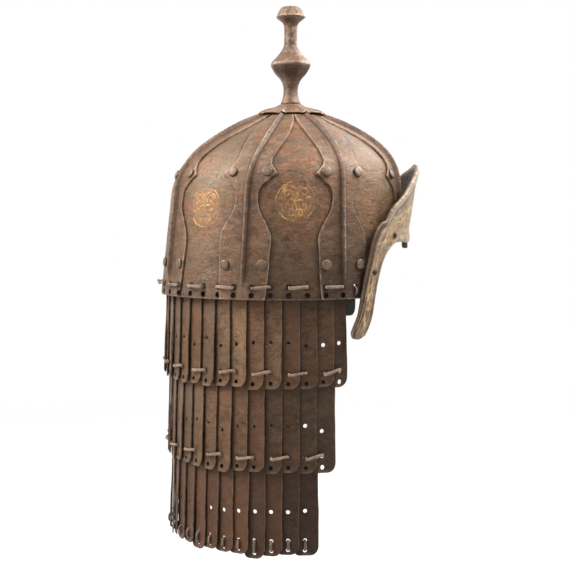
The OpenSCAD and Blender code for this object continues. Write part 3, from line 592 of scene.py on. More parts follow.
def bowlSheet(name, middle, outer, inner, sharp=35):
    # Plate between two grids of points, with its rim holes, and cut by the face opening where it reaches it
    points = np.concatenate([outer.reshape(-1, 3), inner.reshape(-1, 3)])
    mesh = newMesh(name, points, sheetFaces(*outer.shape[:2]), sharp=sharp)
    mesh = finished(mesh, [rimCutter, openingBar] if apart(middle) <= 90 else [rimCutter], sharp=sharp)
    return mesh, pointsOf(mesh)


def palerUp(z, low, start, reach):
    # Tone from low at the foot of a plate to 1 above it
    return low + (1 - low) * ease((z - start) / reach)


def plateDent(k, a, z):
    # Hammered unevenness of inner plate k
    return 0.16 * wobble(a / 9 + z / 31, 70 + k, 1.0)


def innerPlate(k):
    # Grid of angle and height on the bowl, outer layer at 0 and inner layer one thickness in
    middle = 45.0 * (k - 1)
    a = middle + np.linspace(-plates["half"], plates["half"], plates["columns"] * 2 + 1)
    z = np.concatenate([[0, 0.35, 1.2], np.arange(4, 79.1, 3.0), crownRows(22, 167)])
    rounding = np.where(z < 0.1, 0.35, 0)[:, None]
    dent = plateDent(k, a[None, :], z[:, None]) * (z[:, None] > 2)
    outer = bowlPoint(a[None, :], z[:, None], dent - rounding)
    inner = bowlPoint(a[None, :], z[:, None], dent - bowl["innerT"] + rounding)
    mesh, p = bowlSheet("inner_%d" % k, middle, outer, inner)
    high = p[:, 2]
    side = apart(np.degrees(np.arctan2(p[:, 1], p[:, 0] - ringX(high))), middle)
    # Painted shadow beside the ridged plates' edges, and darker around the rim holes and along the lower edge
    gap = baseR(high) * np.radians(22.5 - side) - halfWidth(np.clip(high, 0, 163))
    dirty = 0.9 * np.exp(-np.clip(gap, 0, 50) / 1.3) + 0.25 * (high < 3) + holeDarkening(p)
    gilt = np.zeros(len(p))
    for spot, height in roundelSpots:
        far = np.linalg.norm(p - bowlPoint(spot, height, 0), axis=1)
        gilt += ease((gold["roundelR"] + 1.5 - far) / 5)
    # Darker low down, most on the plates over the ears, partly the iron's own colour and partly painted shade;
    # paler on the shoulders of those before and behind, a painted highlight
    besideEar = k % 2 == 0
    shoulder = np.exp(-((high - 108) / 22) ** 2)
    tone = palerUp(high, 0.53 if k in (3, 7) else 0.83, 15, 65) + 0.2 * besideEar * shoulder
    tone *= [0.92, 1.0, 0.96, 1.02, 0.95, 0.98, 1.0, 1.03][k - 1]
    addMarks(mesh, dirty=np.clip(dirty, 0, 1), worn=0.35 * (high < 0.6), gilt=gilt, tone=tone,
             hue=-1.8 * besideEar * ease((high - 62) / 40))
    place("inner_plate_skin_%d" % k, mesh, innerIron, "bowl", ["inner_plate_%d" % k])


def keelShare(z, foot):
    return np.interp(z, [foot - 3, foot + 1, foot + 9, 152, 157, 163.5], [0, 0.2, 1, 1, 0.8, 0.35])


def ridgedPlate(k):
    # Grid across the outline and up the plate; the keel's height times (1 - s/w) to a power gives hollow flanks
    middle = 45.0 * (k - 0.5)
    front = apart(middle) < 45
    z = np.unique(np.round(np.concatenate([
        [0, 0.35, 1.2, 3], np.arange(6, 54, 4.0), np.arange(54, 78, 1.5), np.arange(78, 94, 2.0),
        np.arange(94, 104, 1.0), [104, 104.5, 104.8, 105, 105.2, 105.6, 106.2], np.arange(107, 122, 1.25),
        np.arange(122, 150, 2.4), np.arange(150, plates["topZ"], 1.1), [plates["topZ"]]]), 3))
    foot = plates["frontKeelFoot"] if front else plates["keelFoot"]
    z = z[z > plates["openingH"] - 20] if front else z
    z = z[:, None]
    right = halfWidth(z) + plates["edgeWobble"] * wobble(z, 300 + k, 60)
    left = halfWidth(z) + plates["edgeWobble"] * wobble(z, 400 + k, 60)
    keelWide = plates["keelHalf"] * (0.75 + 0.25 * baseR(z) / bowl["rimR"])
    share = keelShare(z, foot)
    near = np.array([0, 0.05, 0.14, 0.28, 0.45, 0.65, 0.85, 1.0, 1.2])
    far = np.linspace(0, 1, 9)[1:] ** 0.9
    halves = []
    for side, edge in ((-1, left), (1, right)):
        s = np.concatenate([keelWide * near, keelWide * 1.2 + (edge - 0.9 - keelWide * 1.2) * far,
                            edge - [0.45, 0.16, 0.02, 0]], 1)
        h = np.zeros_like(s)
        h[:, :9] = plates["keelH"] * share * np.clip(1 - near, 0, 1) ** 1.65
        h[:, :1] -= 0.12 * share
        h[:, -4:] = -np.array([0.02, 0.12, 0.38, 0.7])
        halves.append((side * s, h + ridgedOut))
    s, h = (np.concatenate([l[:, ::-1], r[:, 1:]], 1) for l, r in zip(*halves))
    # The edges stand off the bowl a little here and there
    across = np.abs(s) / np.maximum(np.where(s < 0, left, right), 1)
    lift = plates["edgeLift"] * ease((across - 0.55) / 0.45) * np.clip(0.35 + wobble(z, 500 + k, 50), 0, 1.2)
    lift *= z < 150
    a = sideways(middle, z, s)
    outer = bowlPoint(a, z, h + lift - np.where(z < 0.1, 0.45, 0), direct=True)
    inner = bowlPoint(a, z, ridgedIn + lift, direct=True)
    mesh, p = bowlSheet("ridged_%d" % k, middle, outer, inner, sharp=42)
    high, base = p[:, 2], bowlPoint(middle, p[:, 2], 0)
    own = np.abs(turnAbout(*p.T[:2], -radians(middle))[1] - turnAbout(*base.T[:2], -radians(middle))[1])
    edge = halfWidth(np.clip(high, 0, plates["topZ"])) - own
    keel = own / plates["keelHalf"]
    lively = np.clip(keelShare(high, foot), 0, 1)
    # The bright lines along the edges and on the keel's crest are wear and painted highlights; the dark bands
    # on the keel's flanks and along its foot are painted shade
    worn = 0.55 * np.exp(-np.clip(edge, 0, 9) / 0.3) + lively * np.exp(-keel / 0.14) + 0.3 * (high < 0.6)
    flank = 0.36 * ease((keel - 0.1) / 0.2) * (keel < 1) + 0.85 * np.exp(-((keel - 0.9) / 0.22) ** 2)
    # Darker low down, most on the plates beside the front: partly dark patina, partly painted shade
    tone = palerUp(high, 0.33 if k in (2, 7) else 0.83, 10, 75)
    tone *= [1.02, 0.93, 0.98, 1.0, 0.93, 1.0, 0.95, 1.02][k - 1]
    addMarks(mesh, worn=np.clip(worn, 0, 1), dirty=np.clip(lively * flank + holeDarkening(p), 0, 1), tone=tone)
    place("ridged_plate_skin_%d" % k, mesh, ridgedIron, "bowl", ["ridged_plate_%d" % k])


for number in range(1, 9):
    innerPlate(number)
    ridgedPlate(number)
print("bowl plates made")

# Rivets
rivets = dict(upperZ=106.5, lowerZ=29.0, frontZ=62.0, away=8.44, frontAway=5.8, sides=26, size=(0.8, 0.9))


def rivetSpots():
    # Angle and height of two rivets on each side of every ridged plate; the front plates' lower ones sit higher
    spots = []
    for k in range(8):
        middle = 45.0 * (k + 0.5)
        high, low = (rivets["away"], rivets["upperZ"]), (rivets["away"], rivets["lowerZ"])
        if apart(middle) < 45:
            low = rivets["frontAway"], rivets["frontZ"]
        for side in (-1, 1):
            spots += [(middle + side * away, z) for away, z in (high, low)]
    return spots


def standing(points, a, z):
    # Carries points from a frame with +Z outward to the bowl's surface at angle a and height z
    up, b = float(rise(np.array(z))), radians(float(turned(np.array(a), np.array(z))))
    out = np.array([cos(up) * cos(b), cos(up) * sin(b), sin(up)])
    aside = np.array([-sin(b), cos(b), 0])
    return bowlPoint(a, z, 0) + points @ np.stack([np.cross(aside, out), aside, out])


def hammeredHead(seed):
    # Low domed head over a short shank, with the radius and top slightly uneven as hammered
    r = np.random.default_rng(seed)
    size = r.uniform(*rivets["size"])
    profile = [[0, -2.6], [2.5, -2.6], [3.1, -2.2], [3.2, -1.3], [2.0, -1.2], [2.0, 1.5], [4.75, 1.5],
               [5.0, 1.75], [5.0, 2.6], [4.85, 3.05], [4.45, 3.38], [3.6, 3.62], [2.2, 3.76], [1.0, 3.8],
               [0, 3.8]]
    phase, flat = r.uniform(0, 2 * pi, 2), r.uniform(-0.035, 0.035, 2)

    def uneven(radius, a, z):
        return radius * size * (1 + 0.014 * np.cos(2 * a + phase[0]) + 0.008 * np.cos(5 * a + phase[1]))

    points, faces = revolved(profile, rivets["sides"], radiusOf=uneven)
    high = points[:, 2] > 2
    points[high, 2] += (points[high, 0] * flat[0] + points[high, 1] * flat[1]) - r.uniform(0, 0.25)
    return points, faces


def rivetPiece():
    made, tones = [], []
    for i, (a, z) in enumerate(rivetSpots()):
        points, faces = hammeredHead(900 + i)
        made.append((standing(points, a, z), faces))
        tones.append(np.full(len(points), np.random.default_rng(60 + i).uniform(0.86, 1.06)))
    mesh = newMesh("rivets", *joined(made), sharp=50)
    # The foot and side wall of each head are painted in shade, up to the same ring of points on all of them
    dirty = np.where(hammeredHead(900)[0][:, 2] < 2.8, 0.95, 0.15)
    addMarks(mesh, tone=np.concatenate(tones), worn=0.12, dirty=np.tile(dirty, len(made)))
    place("plate_rivet_heads", mesh, rivetIron, "bowl", ["plate_rivets"])


rivetPiece()
print("rivets made")

# Apex plate, finial and washer
apex = dict(r=30.5, flatR=10.5, holeR=4.2, foldH=2.6, foldWidth=1.5, stand=1.7, edgeWobble=0.42)
finial = dict(h=89.2, knobR=18.5, discR=13.8, stemR=6.0, footR=9.3, seatZ=172.668, washerZ=166.538, tangR=4.0,
              socketR=2.5, socketDepth=40.0, facets=8)


def aroundCrown(r, a, z):
    # Point at radius r and angle a round the crown's upright axis
    return np.stack([bowl["crownX"] + r * np.cos(np.radians(a)), r * np.sin(np.radians(a)), z], -1)


def crownHeight(r):
    # Height on the crown where the base radius is r, by interpolation on a fine list
    z = np.linspace(bowl["shoulderZ"], bowl["crownZ"], 4000)
    return np.interp(-np.asarray(r, float), -baseR(z), z)


def apexPlate():
    # Sheet of revolution on the crown, folded up over the eight keels and standing off a little between them
    sides = 192
    a = np.arange(sides) * 360 / sides
    t = np.linspace(0, 1, 16)[:, None]
    edge = apex["r"] + apex["edgeWobble"] * wobble(a / 360 * 3, 12, 1.0)
    edge = edge + 0.5 * np.cos(np.radians(8 * (a - 22.5)))
    r = apex["flatR"] - 1.6 + (edge - apex["flatR"] + 1.6) * t
    direction = np.array([float(turned(np.array(45.0 * (k + 0.5)), np.array(156.0))) for k in range(8)])
    aside = r * np.radians(apart(a[:, None], direction).min(1))
    fold = apex["foldH"] * ease((r - 11) / 17) * np.exp(-(aside / apex["foldWidth"]) ** 2 * 0.8)
    between = 1 - np.exp(-(aside / 4.2) ** 2)
    fold = fold + apex["stand"] * ease((t - 0.3) / 0.7) * between * (0.9 + 0.35 * wobble(a / 360 * 4, 5, 1.0))
    z = crownHeight(r)
    up = rise(z)

    def layer(h):
        return aroundCrown(r + h * np.cos(up), a, z + h * np.sin(up))

    soft = np.where(t > 0.99, 0.3, 0)
    top, low = layer(apexOut + fold - soft), layer(apexIn + fold + soft * 0.5)
    # Around the tang the sheet runs level under the finial's foot
    hole = [aroundCrown(apex["holeR"] + 0 * a, a, level + 0 * a)[None]
            for level in (finial["seatZ"], finial["seatZ"] - 1.9)]
    section = np.concatenate([hole[0], top, low[::-1], hole[1]]).transpose(1, 0, 2)
    count = section.shape[1]
    mesh = newMesh("apex", section.reshape(-1, 3), ringFaces(sides, count, closedPath=True), sharp=45)
    column, ends = np.arange(count), 0 * fold[:1]
    edge = 0.3 * ((column == len(top) - 1) | (column == len(top)))
    folds = np.concatenate([ends, fold / apex["foldH"], fold * 0, ends]).T.clip(0, 1)
    # The underside is darkened: painted shade under the standing edge
    under = 0.9 * (column > len(top) + 1) + 0 * folds
    addMarks(mesh, worn=edge + 0.35 * folds, dirty=under, tone=1.14, hue=1.3)
    place("apex_plate_skin", mesh, finialIron, "bowl", ["apex_plate"])


def finialPiece():
    # Baluster turned round one profile, with its lower cone filed to eight soft faces
    f = finial
    h, k, s, d, tang, bore = f["h"], f["knobR"], f["stemR"], f["discR"], f["tangR"], f["socketR"]
    endZ = f["washerZ"] - 1.6 - 0.1 - f["seatZ"]
    # Height and radius up the foot, the lower stem, the knob, the upper stem and the disc
    side = [[0.8, f["footR"]], [1.8, f["footR"] - 0.2], [5, s + 1.9], [11, s + 0.7], [15, s + 0.7],
            [19.5, s + 1.7], [23.5, s + 4.0], [28, k - 4.2], [33, k - 1.0], [35.2, k + 0.1], [36.6, k + 0.4],
            [38, k], [39.4, k - 1.0], [42, k - 3.4], [46.5, k - 7.6], [51, s + 1.6], [54, s + 0.3], [58, s],
            [68, s], [72.5, s + 0.3], [h - 14.5, s + 1.3], [h - 12.3, d - 4], [h - 10, d - 0.7], [h - 9, d],
            [h - 8, d - 0.5], [h - 6, d - 1.6], [h - 3.2, d - 3.1], [h - 0.8, d - 5]]
    z = np.unique(np.concatenate([np.linspace(0.8, h - 0.8, 74), [34, 35.2, 36.6, 38, h - 10, h - 9, h - 8]]))
    # Before it the peened tang, and after it the socket down the middle
    low = [[0, endZ - 2], [tang + 1.4, endZ - 2], [tang + 2.3, endZ - 1.2], [tang + 2.4, endZ], [tang, endZ],
           [tang, 0.1], [f["footR"] - 0.3, 0.1]]
    top = [[d - 6.2, h - 0.15], [d - 7.4, h], [bore + 0.5, h], [bore, h - 0.6], [bore, h - f["socketDepth"]],
           [0, h - f["socketDepth"]]]
    profile = low + np.column_stack([smoothCurve(z, side), z]).tolist() + top

    def filed(radius, a, height):
        # The lower cone, the knob's upper cone and the disc have flats that fade into the round stem
        half = pi / f["facets"]
        flat = np.cos(np.mod(a * f["facets"] / (2 * pi) + 0.5, 1) * 2 * half - half)
        amount = ease((radius - s - 1) / 6) * (height > 2) * 0.75
        even = 1 - amount * (1 - np.cos(half) / np.maximum(flat, 0.5)) * 0.55
        return radius * np.where(radius > bore + 0.6, even * (1 + 0.006 * np.sin(3 * a + height / 9)), 1)

    points, faces = revolved(profile, 96, radiusOf=filed)
    mesh = newMesh("finial", points + [bowl["crownX"], 0, f["seatZ"]], faces, sharp=38)
    # Worn on the widest ring of the knob and the disc; darker in the necks and at the foot, and painted shade
    # under the knob
    z = points[:, 2]
    worn = 0.6 * np.exp(-((z - 36.6) / 1.3) ** 2) + 0.6 * np.exp(-(z - h + 9) ** 2) + 0.3 * (z > h - 1)
    dirty = (0.5 * np.exp(-np.abs(z - 53) / 5) + 0.6 * np.exp(-np.abs(z - 16) / 5) + 0.7 * (z < 1.2)
             + 0.3 * np.exp(-np.abs(z - h + 15) / 2.5) + 0.75 * np.exp(-((z - 30) / 5) ** 2))
    addMarks(mesh, worn=worn, dirty=dirty, tone=1.0)
    place("finial_baluster", mesh, finialIron, "bowl", ["finial"])


def washerPiece():
    # Dished round washer under the crown, with a worn hammered rim
    r = np.array([4.2, 8, 13.5, 19, 22.6, 24])
    z = crownHeight(np.maximum(r, 10.5))
    up = rise(z)
    top = np.column_stack([r - 1.5 * np.cos(up) * (r > 10), z - 1.5 * np.sin(up)])
    low = np.column_stack([r - 3.0 * np.cos(up) * (r > 10), z - 3.0 * np.sin(up)])
    top[:2, 1] = low[:2, 1] + 1.6
    section = np.concatenate([top, low[::-1]])
    sides = 64
    number = np.arange(sides)[:, None]
    ring = section[:, 0] * (1 + 0.01 * wobble(number / 12, 3, 1.0))
    points = aroundCrown(ring, number * 360 / sides, section[:, 1] + 0 * ring)
    mesh = newMesh("washer", points, ringFaces(sides, len(section), closedPath=True))
    addMarks(mesh, worn=0.1, dirty=0.3, tone=0.9)
    place("finial_washer_ring", mesh, innerIron, "bowl", ["finial_washer"])


apexPlate()
finialPiece()
washerPiece()
print("apex plate, finial and washer made")

# Brow plate
brow = dict(r=113.3, lean=0.155, leanZ=60.0, lowZ=46.5, t=1.7, relief=0.9, nasalHalf=4.0, nasalZ=40.5)
# Angle and height of the upper edge, then of the lower edge, at even steps from the middle to an arm's end
browEdges = np.array([
    [0, 119, 0, 46.5], [4, 117.5, 4, 46.5], [8, 115, 8, 46.5], [13, 112.5, 13, 46.5], [18, 108.5, 18, 46.5],
    [23, 103, 23, 46.5], [28, 96, 28, 47.2], [33, 88, 33, 47.5], [38, 82, 37, 46.8], [42, 78, 40, 44.6],
    [44.2, 71, 42.4, 41.6], [45.8, 66.2, 44.6, 38], [49, 64.2, 46.3, 34.2], [51.7, 58.9, 47.8, 30],
    [53.4, 53, 48.8, 26], [54.9, 46.4, 49.7, 21.5], [56.5, 35, 50.6, 16], [57.9, 26, 51.5, 9.5],
    [59.1, 17, 52.3, 2.5], [60.2, 7, 53.2, -5.5], [61.3, -4, 54.1, -13], [62.4, -14, 55.3, -20],
    [64.3, -21.5, 56.8, -26], [65.8, -28, 58.4, -31], [66.1, -33, 61, -35]])


def browEdge(s):
    # Edges at place s along the half plate, from 0 at the middle to 24 at the arm's end
    return np.stack([np.interp(s, np.arange(25), browEdges[:, j]) for j in range(4)], -1)


def browRib(s):
    # Share of the band's width at which the upper raised border runs, further in along the arm
    return np.interp(np.abs(s), [0, 8.5, 12.5, 24], [0.085, 0.10, 0.33, 0.36])


def browFace(v, s):
    # Height of the face across the band: a rounded border at each edge, a groove beside it, a low middle swell
    at = browRib(s)
    wide = np.interp(np.abs(s), [0, 8.5, 12.5, 24], [0.07, 0.07, 0.04, 0.045])
    rib = 1.5 * np.exp(-((v - at) / wide) ** 2) + 1.1 * np.exp(-((v - 0.93) / 0.05) ** 2)
    arm = ease((np.abs(s) - 9) / 4)
    roll = arm * (0.8 * np.exp(-((v - 0.05) / 0.05) ** 2) - 0.6 * np.exp(-((v - 0.2) / 0.09) ** 2))
    inner = 0.45 * np.exp(-((v - 0.62) / 0.2) ** 2) - 0.12
    return (rib + inner + roll) * np.clip(0.8 + 0.2 * np.cos(s * 0.9), 0.4, 1)


def browPoint(s, v, out):
    # Point of the plate at place s (negative towards the wearer's right), share v from upper to lower edge
    e = browEdge(np.abs(s))
    # A small notch in the upper edge where the arm begins, and a rounded end of the arm
    notch = 2.2 * np.exp(-((np.abs(s) - 9.0) / 0.22) ** 2)
    tip = np.clip((np.abs(s) - 22.9) / 1.1, 0, 1)
    v = 0.5 + (v - 0.5) * (1 - 0.62 * (1 - np.sqrt(1 - tip * tip)))
    side = np.where(s < 0, -1, 1)
    a = np.radians(side * (e[..., 0] + (e[..., 2] - e[..., 0]) * v))
    z = e[..., 1] - notch + (e[..., 3] - e[..., 1] + notch) * v
    r = brow["r"] + brow["lean"] * np.maximum(0, z - brow["leanZ"]) + out
    return np.stack([bowl["axisX"] + r * np.cos(a), r * np.sin(a), z], -1)


def browDent(s, v):
    return 0.12 * wobble(s / 6 + v * 2, 77, 1.0)


def browPlate():
    s = np.linspace(-24, 24, 385)[:, None]
    v = np.concatenate([[0, 0.004, 0.014], np.linspace(0.03, 0.97, 44), [0.986, 0.996, 1]])[None, :]
    edge = -0.9 * (1 - np.clip(np.minimum(v, 1 - v) / 0.03, 0, 1)) ** 2
    end = -0.8 * (1 - np.clip((24 - np.abs(s)) / 0.25, 0, 1)) ** 2
    face = brow["t"] + brow["relief"] * browFace(v, s) + edge + end
    outer = browPoint(s + 0 * v, v + 0 * s, face + browDent(s, v))
    arm = ease((np.abs(s) - 9) / 4)
    # The upper border is rolled back over the front, thicker than the plate
    roll = (1 - arm) * np.exp(-((v - 0.035) / 0.04) ** 2)
    inner = browPoint(s + 0 * v, v + 0 * s, -0.3 * edge * (1 - roll) - 1.7 * roll)
    points = np.concatenate([outer.reshape(-1, 3), inner.reshape(-1, 3)])
    mesh = newMesh("brow", points, sheetFaces(*face.shape), sharp=48)
    # The grid runs from the wearer's right to the left and from the upper edge down, so its faces are turned
    mesh.flip_normals()
    at = browRib(s)
    rib = np.exp(-((v - at) / 0.045) ** 2) + 0.7 * np.exp(-((v - 0.95) / 0.04) ** 2)
    groove = 0.8 * np.exp(-((v - at - 0.1) / 0.04) ** 2) + 0.6 * np.exp(-((v - 0.86) / 0.04) ** 2)
    groove = groove + 1.1 * arm * ease((v - 0.04) / 0.05) * ease((at - 0.03 - v) / 0.05)
    both = lambda front, back=0: np.stack([front + 0 * face, back + 0 * face])
    strip = arm * ease((at - v) / 0.08) * np.clip((23 - np.abs(s)) / 2, 0, 1)
    # Brighter on the raised borders, darker in the grooves beside them and along the arms; the back face,
    # between the plate and the bowl, is painted in shade except where it rolls over the front
    addMarks(mesh, worn=both(np.clip(0.75 * rib, 0, 1)), dirty=both(np.clip(0.8 * groove, 0, 1), 1 - roll),
             gilt=both(0.55 * np.exp(-((v - 0.62) / 0.2) ** 2)), hue=both(2.4 * strip),
             tone=both(0.97 - 0.28 * arm, 0.6 + 0.44 * roll))
    place("brow_plate_skin", mesh, browIron, "bowl", ["brow_plate"])


def nasalPoint():
    # Small square point below the middle of the plate: a bevelled bar, its lower end drawn in
    x = bowl["axisX"] + brow["r"] - 2.2
    z = np.linspace(brow["nasalZ"], brow["lowZ"] + 4, 8)[:, None]
    a = (np.arange(20) * 2 * pi / 20)[None, :]
    shrink = np.clip(0.72 + (z - brow["nasalZ"]) / 5, 0.72, 1)
    points = np.stack([x + 2.3 + 2.3 * shrink * squared(np.cos(a), 0.35) - (z - brow["nasalZ"]) * 0.05,
                       brow["nasalHalf"] * shrink * squared(np.sin(a), 0.35), z + 0 * a], -1)
    mesh = newMesh("nasal", points, ringFaces(8, 20), sharp=60)
    # Darkened all over: painted shade under the middle of the plate
    addMarks(mesh, worn=0.1, dirty=0.9, tone=0.6)
    place("brow_nasal_point", mesh, browIron, "bowl", [])


browSpots = [(side * a, z) for side in (-1, 1) for a, z in ((53.3, 22.0), (38.5, 53.5))]


def browRivets():
    made = []
    for a, z in browSpots:
        t = radians(a)
        outside = brow["r"] + brow["lean"] * max(0, z - brow["leanZ"]) + brow["t"] + 0.6
        start = float(baseR(np.array(z))) - bowl["innerT"] - 1.6
        profile = [[0, start], [2.9, start], [2.9, start + 1.4], [1.5, start + 1.4], [1.5, outside - 0.3],
                   [2.4, outside - 0.3], [2.45, outside + 0.25], [2.1, outside + 0.62], [1.2, outside + 0.85],
                   [0, outside + 0.9]]
        points, faces = revolved(profile, 18)
        axes = np.array([[-sin(t), cos(t), 0], [0, 0, 1], [cos(t), sin(t), 0]])
        made.append((points @ axes + [bowl["axisX"], 0, z], faces))
    mesh = newMesh("brow_pins", *joined(made), sharp=45)
    # Darkened to nearly black: painted shade, as in the holes the pins fill
    addMarks(mesh, worn=0.0, dirty=1.0, tone=0.35)
    place("brow_rivet_heads", mesh, rivetIron, "bowl", ["brow_rivets"])


browPlate()
nasalPoint()
browRivets()
print("brow plate made")

# Lamellae
rows = dict(
    length=88.0, width=19.0, thick=1.2, firstR=105.2, step=2.2, lap=6.8, flare=1.3, backLift=0.75, topHole=3.5,
    laceUp=12.5, lowUp=4.2, midUp=37.0, frontCorner=8.0, corner=3.0, uneven=0.5, drop=72.0, rimHole=10.5,
    sides={1: 14, 2: 13, 3: 12}, frontWidth={1: 6.8, 2: 11.6, 3: 11.6}, holeR=1.75,
    reach={1: 1.6, 2: 2.0, 3: 3.2}, holeSlip={1: 3.6, 2: 3.6, 3: 0.8}, slipOver=9.0,
    # Tone of the strips by their place from the back, row by row: painted light and shade, lighter where the
    # lamps fall on them and darker towards the front
    toneAt=(0, 5, 8, 10, 12, 14),
    tones={1: (1.25, 1.25, 1.8, 1.5, 0.9, 0.8), 2: (1.3, 1.3, 1.18, 0.86, 0.7, 0.68),
           3: (0.78, 0.78, 0.8, 0.54, 0.34, 0.32)},
)
# First and last strip of each group to a side; the back group has the five strips round the middle
groups = {1: ((3, 5), (6, 8), (9, 11), (12, 14)), 2: ((3, 5), (6, 8), (9, 11), (12, 13)),
          3: ((3, 5), (6, 8), (9, 12))}
halfWide = rows["width"] / 2
lowEnd = rows["length"] - rows["topHole"]  # how far a strip hangs down from its top hole


def rowR(row):
    return rows["firstR"] - rows["step"] * (row - 1)


def hangZ(row, i):
    # Height of a strip's top hole, a little uneven from strip to strip
    uneven = rows["uneven"] * sin(radians(137 * i + 71 * row + 40 * i * i))
    return rows["rimHole"] - rows["drop"] * (row - 1) + uneven


def lamellaBlank(g):
    # Flat strip with rounded corners: its half widths follow quarter circles near the ends; four round holes
    top, low, t = rows["topHole"], -lowEnd, rows["thick"] / 2
    f, c, b = rows["frontCorner"], rows["corner"], rows["corner"] * 1.6
    arc = lambda count: 1 - np.cos(np.linspace(0, pi / 2, count))
    z = np.unique(np.concatenate([low + f * arc(12), np.linspace(low + f, top - c, 22), top - c * arc(6)]))
    corner = lambda far, r: r - np.sqrt(np.maximum(0, r * r - np.clip(r - far, 0, r) ** 2))
    right = g - corner(z - low, f) - corner(top - z, c)
    left = -halfWide + corner(z - low, b) + corner(top - z, c)
    u = np.array([0, 0.12, 0.2, 0.237, 0.265, 0.3, 0.35, 0.43, 0.54, 0.66, 0.78, 0.9, 0.96, 1])
    y = left[:, None] + (right - left)[:, None] * u
    grid = lambda x: np.stack([x + 0 * y, y, z[:, None] + 0 * y], -1).reshape(-1, 3)
    mesh = newMesh("blank", np.concatenate([grid(t), grid(-t)]), sheetFaces(*y.shape), sharp=0)
    heights = (0, low + rows["laceUp"], low + rows["lowUp"], low + rows["midUp"])
    pins = linked("cutter", newMesh("pins", *pinCutter([0], heights, rows["holeR"], -4, 8, 16), sharp=0))
    mesh = finished(mesh, [pins], bevel=0.22, sharp=0)
    bpy.data.objects.remove(pins)
    return pointsOf(mesh), [list(face.vertices) for face in mesh.polygons]


# One blank for each half width in front: the usual one and those of the front strips
blanks = {g: lamellaBlank(g) for g in dict.fromkeys([halfWide, *rows["frontWidth"].values()])}


def longer(row, i):
    # How much further down this strip reaches below its stitch holes
    return rows["reach"][row] * np.random.default_rng(4000 + 100 * row + i).uniform(-0.35, 1)


def lamella(row, i):
    # One strip in its place: bent, twisted and waved a little, then hung at its station with flare and lap
    g = halfWide if abs(i) < rows["sides"][row] else rows["frontWidth"][row]
    flat, faces = blanks[g]
    r = np.random.default_rng(5000 + 100 * row + i)
    x, y, z = flat.T.copy()
    down = np.clip(-z / lowEnd, 0, 1)
    # The middle hole sits at a height of its own: the strip is shifted around it, fading with the distance
    slip = rows["holeSlip"][row] * np.random.default_rng(6000 + 100 * row + i).uniform(-1, 1)
    z = z + slip * np.exp(-((z + lowEnd - rows["midUp"]) / rows["slipOver"]) ** 2)
    z = z - longer(row, i) * ease((down - 0.86) / 0.14)
    y = y + 0.35 * wobble(z / 90, 7000 + 50 * row + i, 1.0)
    wave = 0.10 * wobble(z / 40 + y / 60, 8000 + 50 * row + i, 1.0)
    x = x + r.uniform(-0.05, 0.35) * down ** 2 + r.uniform(-0.012, 0.012) * y * down + wave
    x = x - 0.12 * (y / halfWide) ** 2 * np.clip(down * 4, 0, 1)
    # The front edge springs outward, more on the front strip of each stitched pair
    pairFront = (rows["sides"][row] - abs(i)) % 2 == 0
    x = x + (0.9 if pairFront else 0.25) * ease((y - 2) / 7) * ease((down - 0.32) * 3)
    side = -1 if i < 0 else 1
    x, y = turnAbout(x, y * side, radians(0 if i == 0 else -side * rows["lap"]))
    x, z = turnAbout(x, z, radians(rows["flare"]))
    x = x + rowR(row) + (rows["backLift"] if i == 0 else 0)
    points = np.stack([*turnAbout(x, y, radians(station(i))), z + hangZ(row, i)], -1)
    # Tone by the strip's place round the rim, with its painted light and shade, a random share, and darker
    # towards the lower end
    shade = np.interp(abs(i), rows["toneAt"], rows["tones"][row]) * r.uniform(0.84, 1.12) * (1.05 - 0.14 * down)
    across, up = flat[:, 1], flat[:, 2]
    # The top of the strip is painted in shadow in its tone and its dirt, under the rim in the first row and
    # under the row above in the others; the dark band beside the edge of the neighbour lying over it, narrower
    # on the front strip of a pair, is painted shade too
    marks = dict(
        tone=shade * (1 - 0.6 * np.exp(-((up + 4) / 9) ** 2)),
        worn=0.2 * np.exp(-(lowEnd * (down - 1)) ** 2 / 4) + 0.22 * (across > g - 0.5),
        dirty=np.exp(-(np.clip(across + 5.0, 0, 20) / (1.2 if pairFront else 2.2)) ** 2)
        + 0.8 * np.exp(-((up + 2) / 10) ** 2),
        hue=np.full(len(x), r.uniform(-0.8, 0.9) + (0.9 if row == 3 else 0)))
    return points, faces if side == 1 else [f[::-1] for f in faces], marks


def lamellaPiece(row, group, numbers):
    made = [lamella(row, i) for i in numbers]
    name = "row_%d_strips_%s" % (row, group)
    mesh = newMesh(name, *joined(made), sharp=30)
    addMarks(mesh, **{key: np.clip(np.concatenate([m[2][key] for m in made]), -1, 2) for key in made[0][2]})
    place(name, mesh, lamellaIron, "row_%d" % row, ["row_%d_%s" % (row, group)])


for row in groups:
    lamellaPiece(row, "back", range(-2, 3))
    for number, (first, last) in enumerate(groups[row], 1):
        lamellaPiece(row, "right_%d" % number, range(first, last + 1))
        lamellaPiece(row, "left_%d" % number, range(-last, 1 - first))
print("lamellae made")

# Lacing
lacing = dict(wide=1.3, thick=0.72, fillet=1.5, barOut=3.4, barIn=2.75, rimBar=3.12, sides=10, slant=2.1,
              round=0.75)
tab = dict(gap=0.2, thick=2.0, halfWide=7.6, halfHigh=14.0, middleZ=-1.0, sides=48)
tabFace = rows["firstR"] - (halfWide * sin(radians(rows["lap"])) + rows["thick"] / 2)
upward = [0, 0, 1]


def polar(a, r, z):
    return np.array([r * cos(radians(a)), r * sin(radians(a)), z])


def unit(d):
    # Directions brought to length 1
    return d / np.maximum(np.linalg.norm(d, axis=1, keepdims=True), 1e-6)


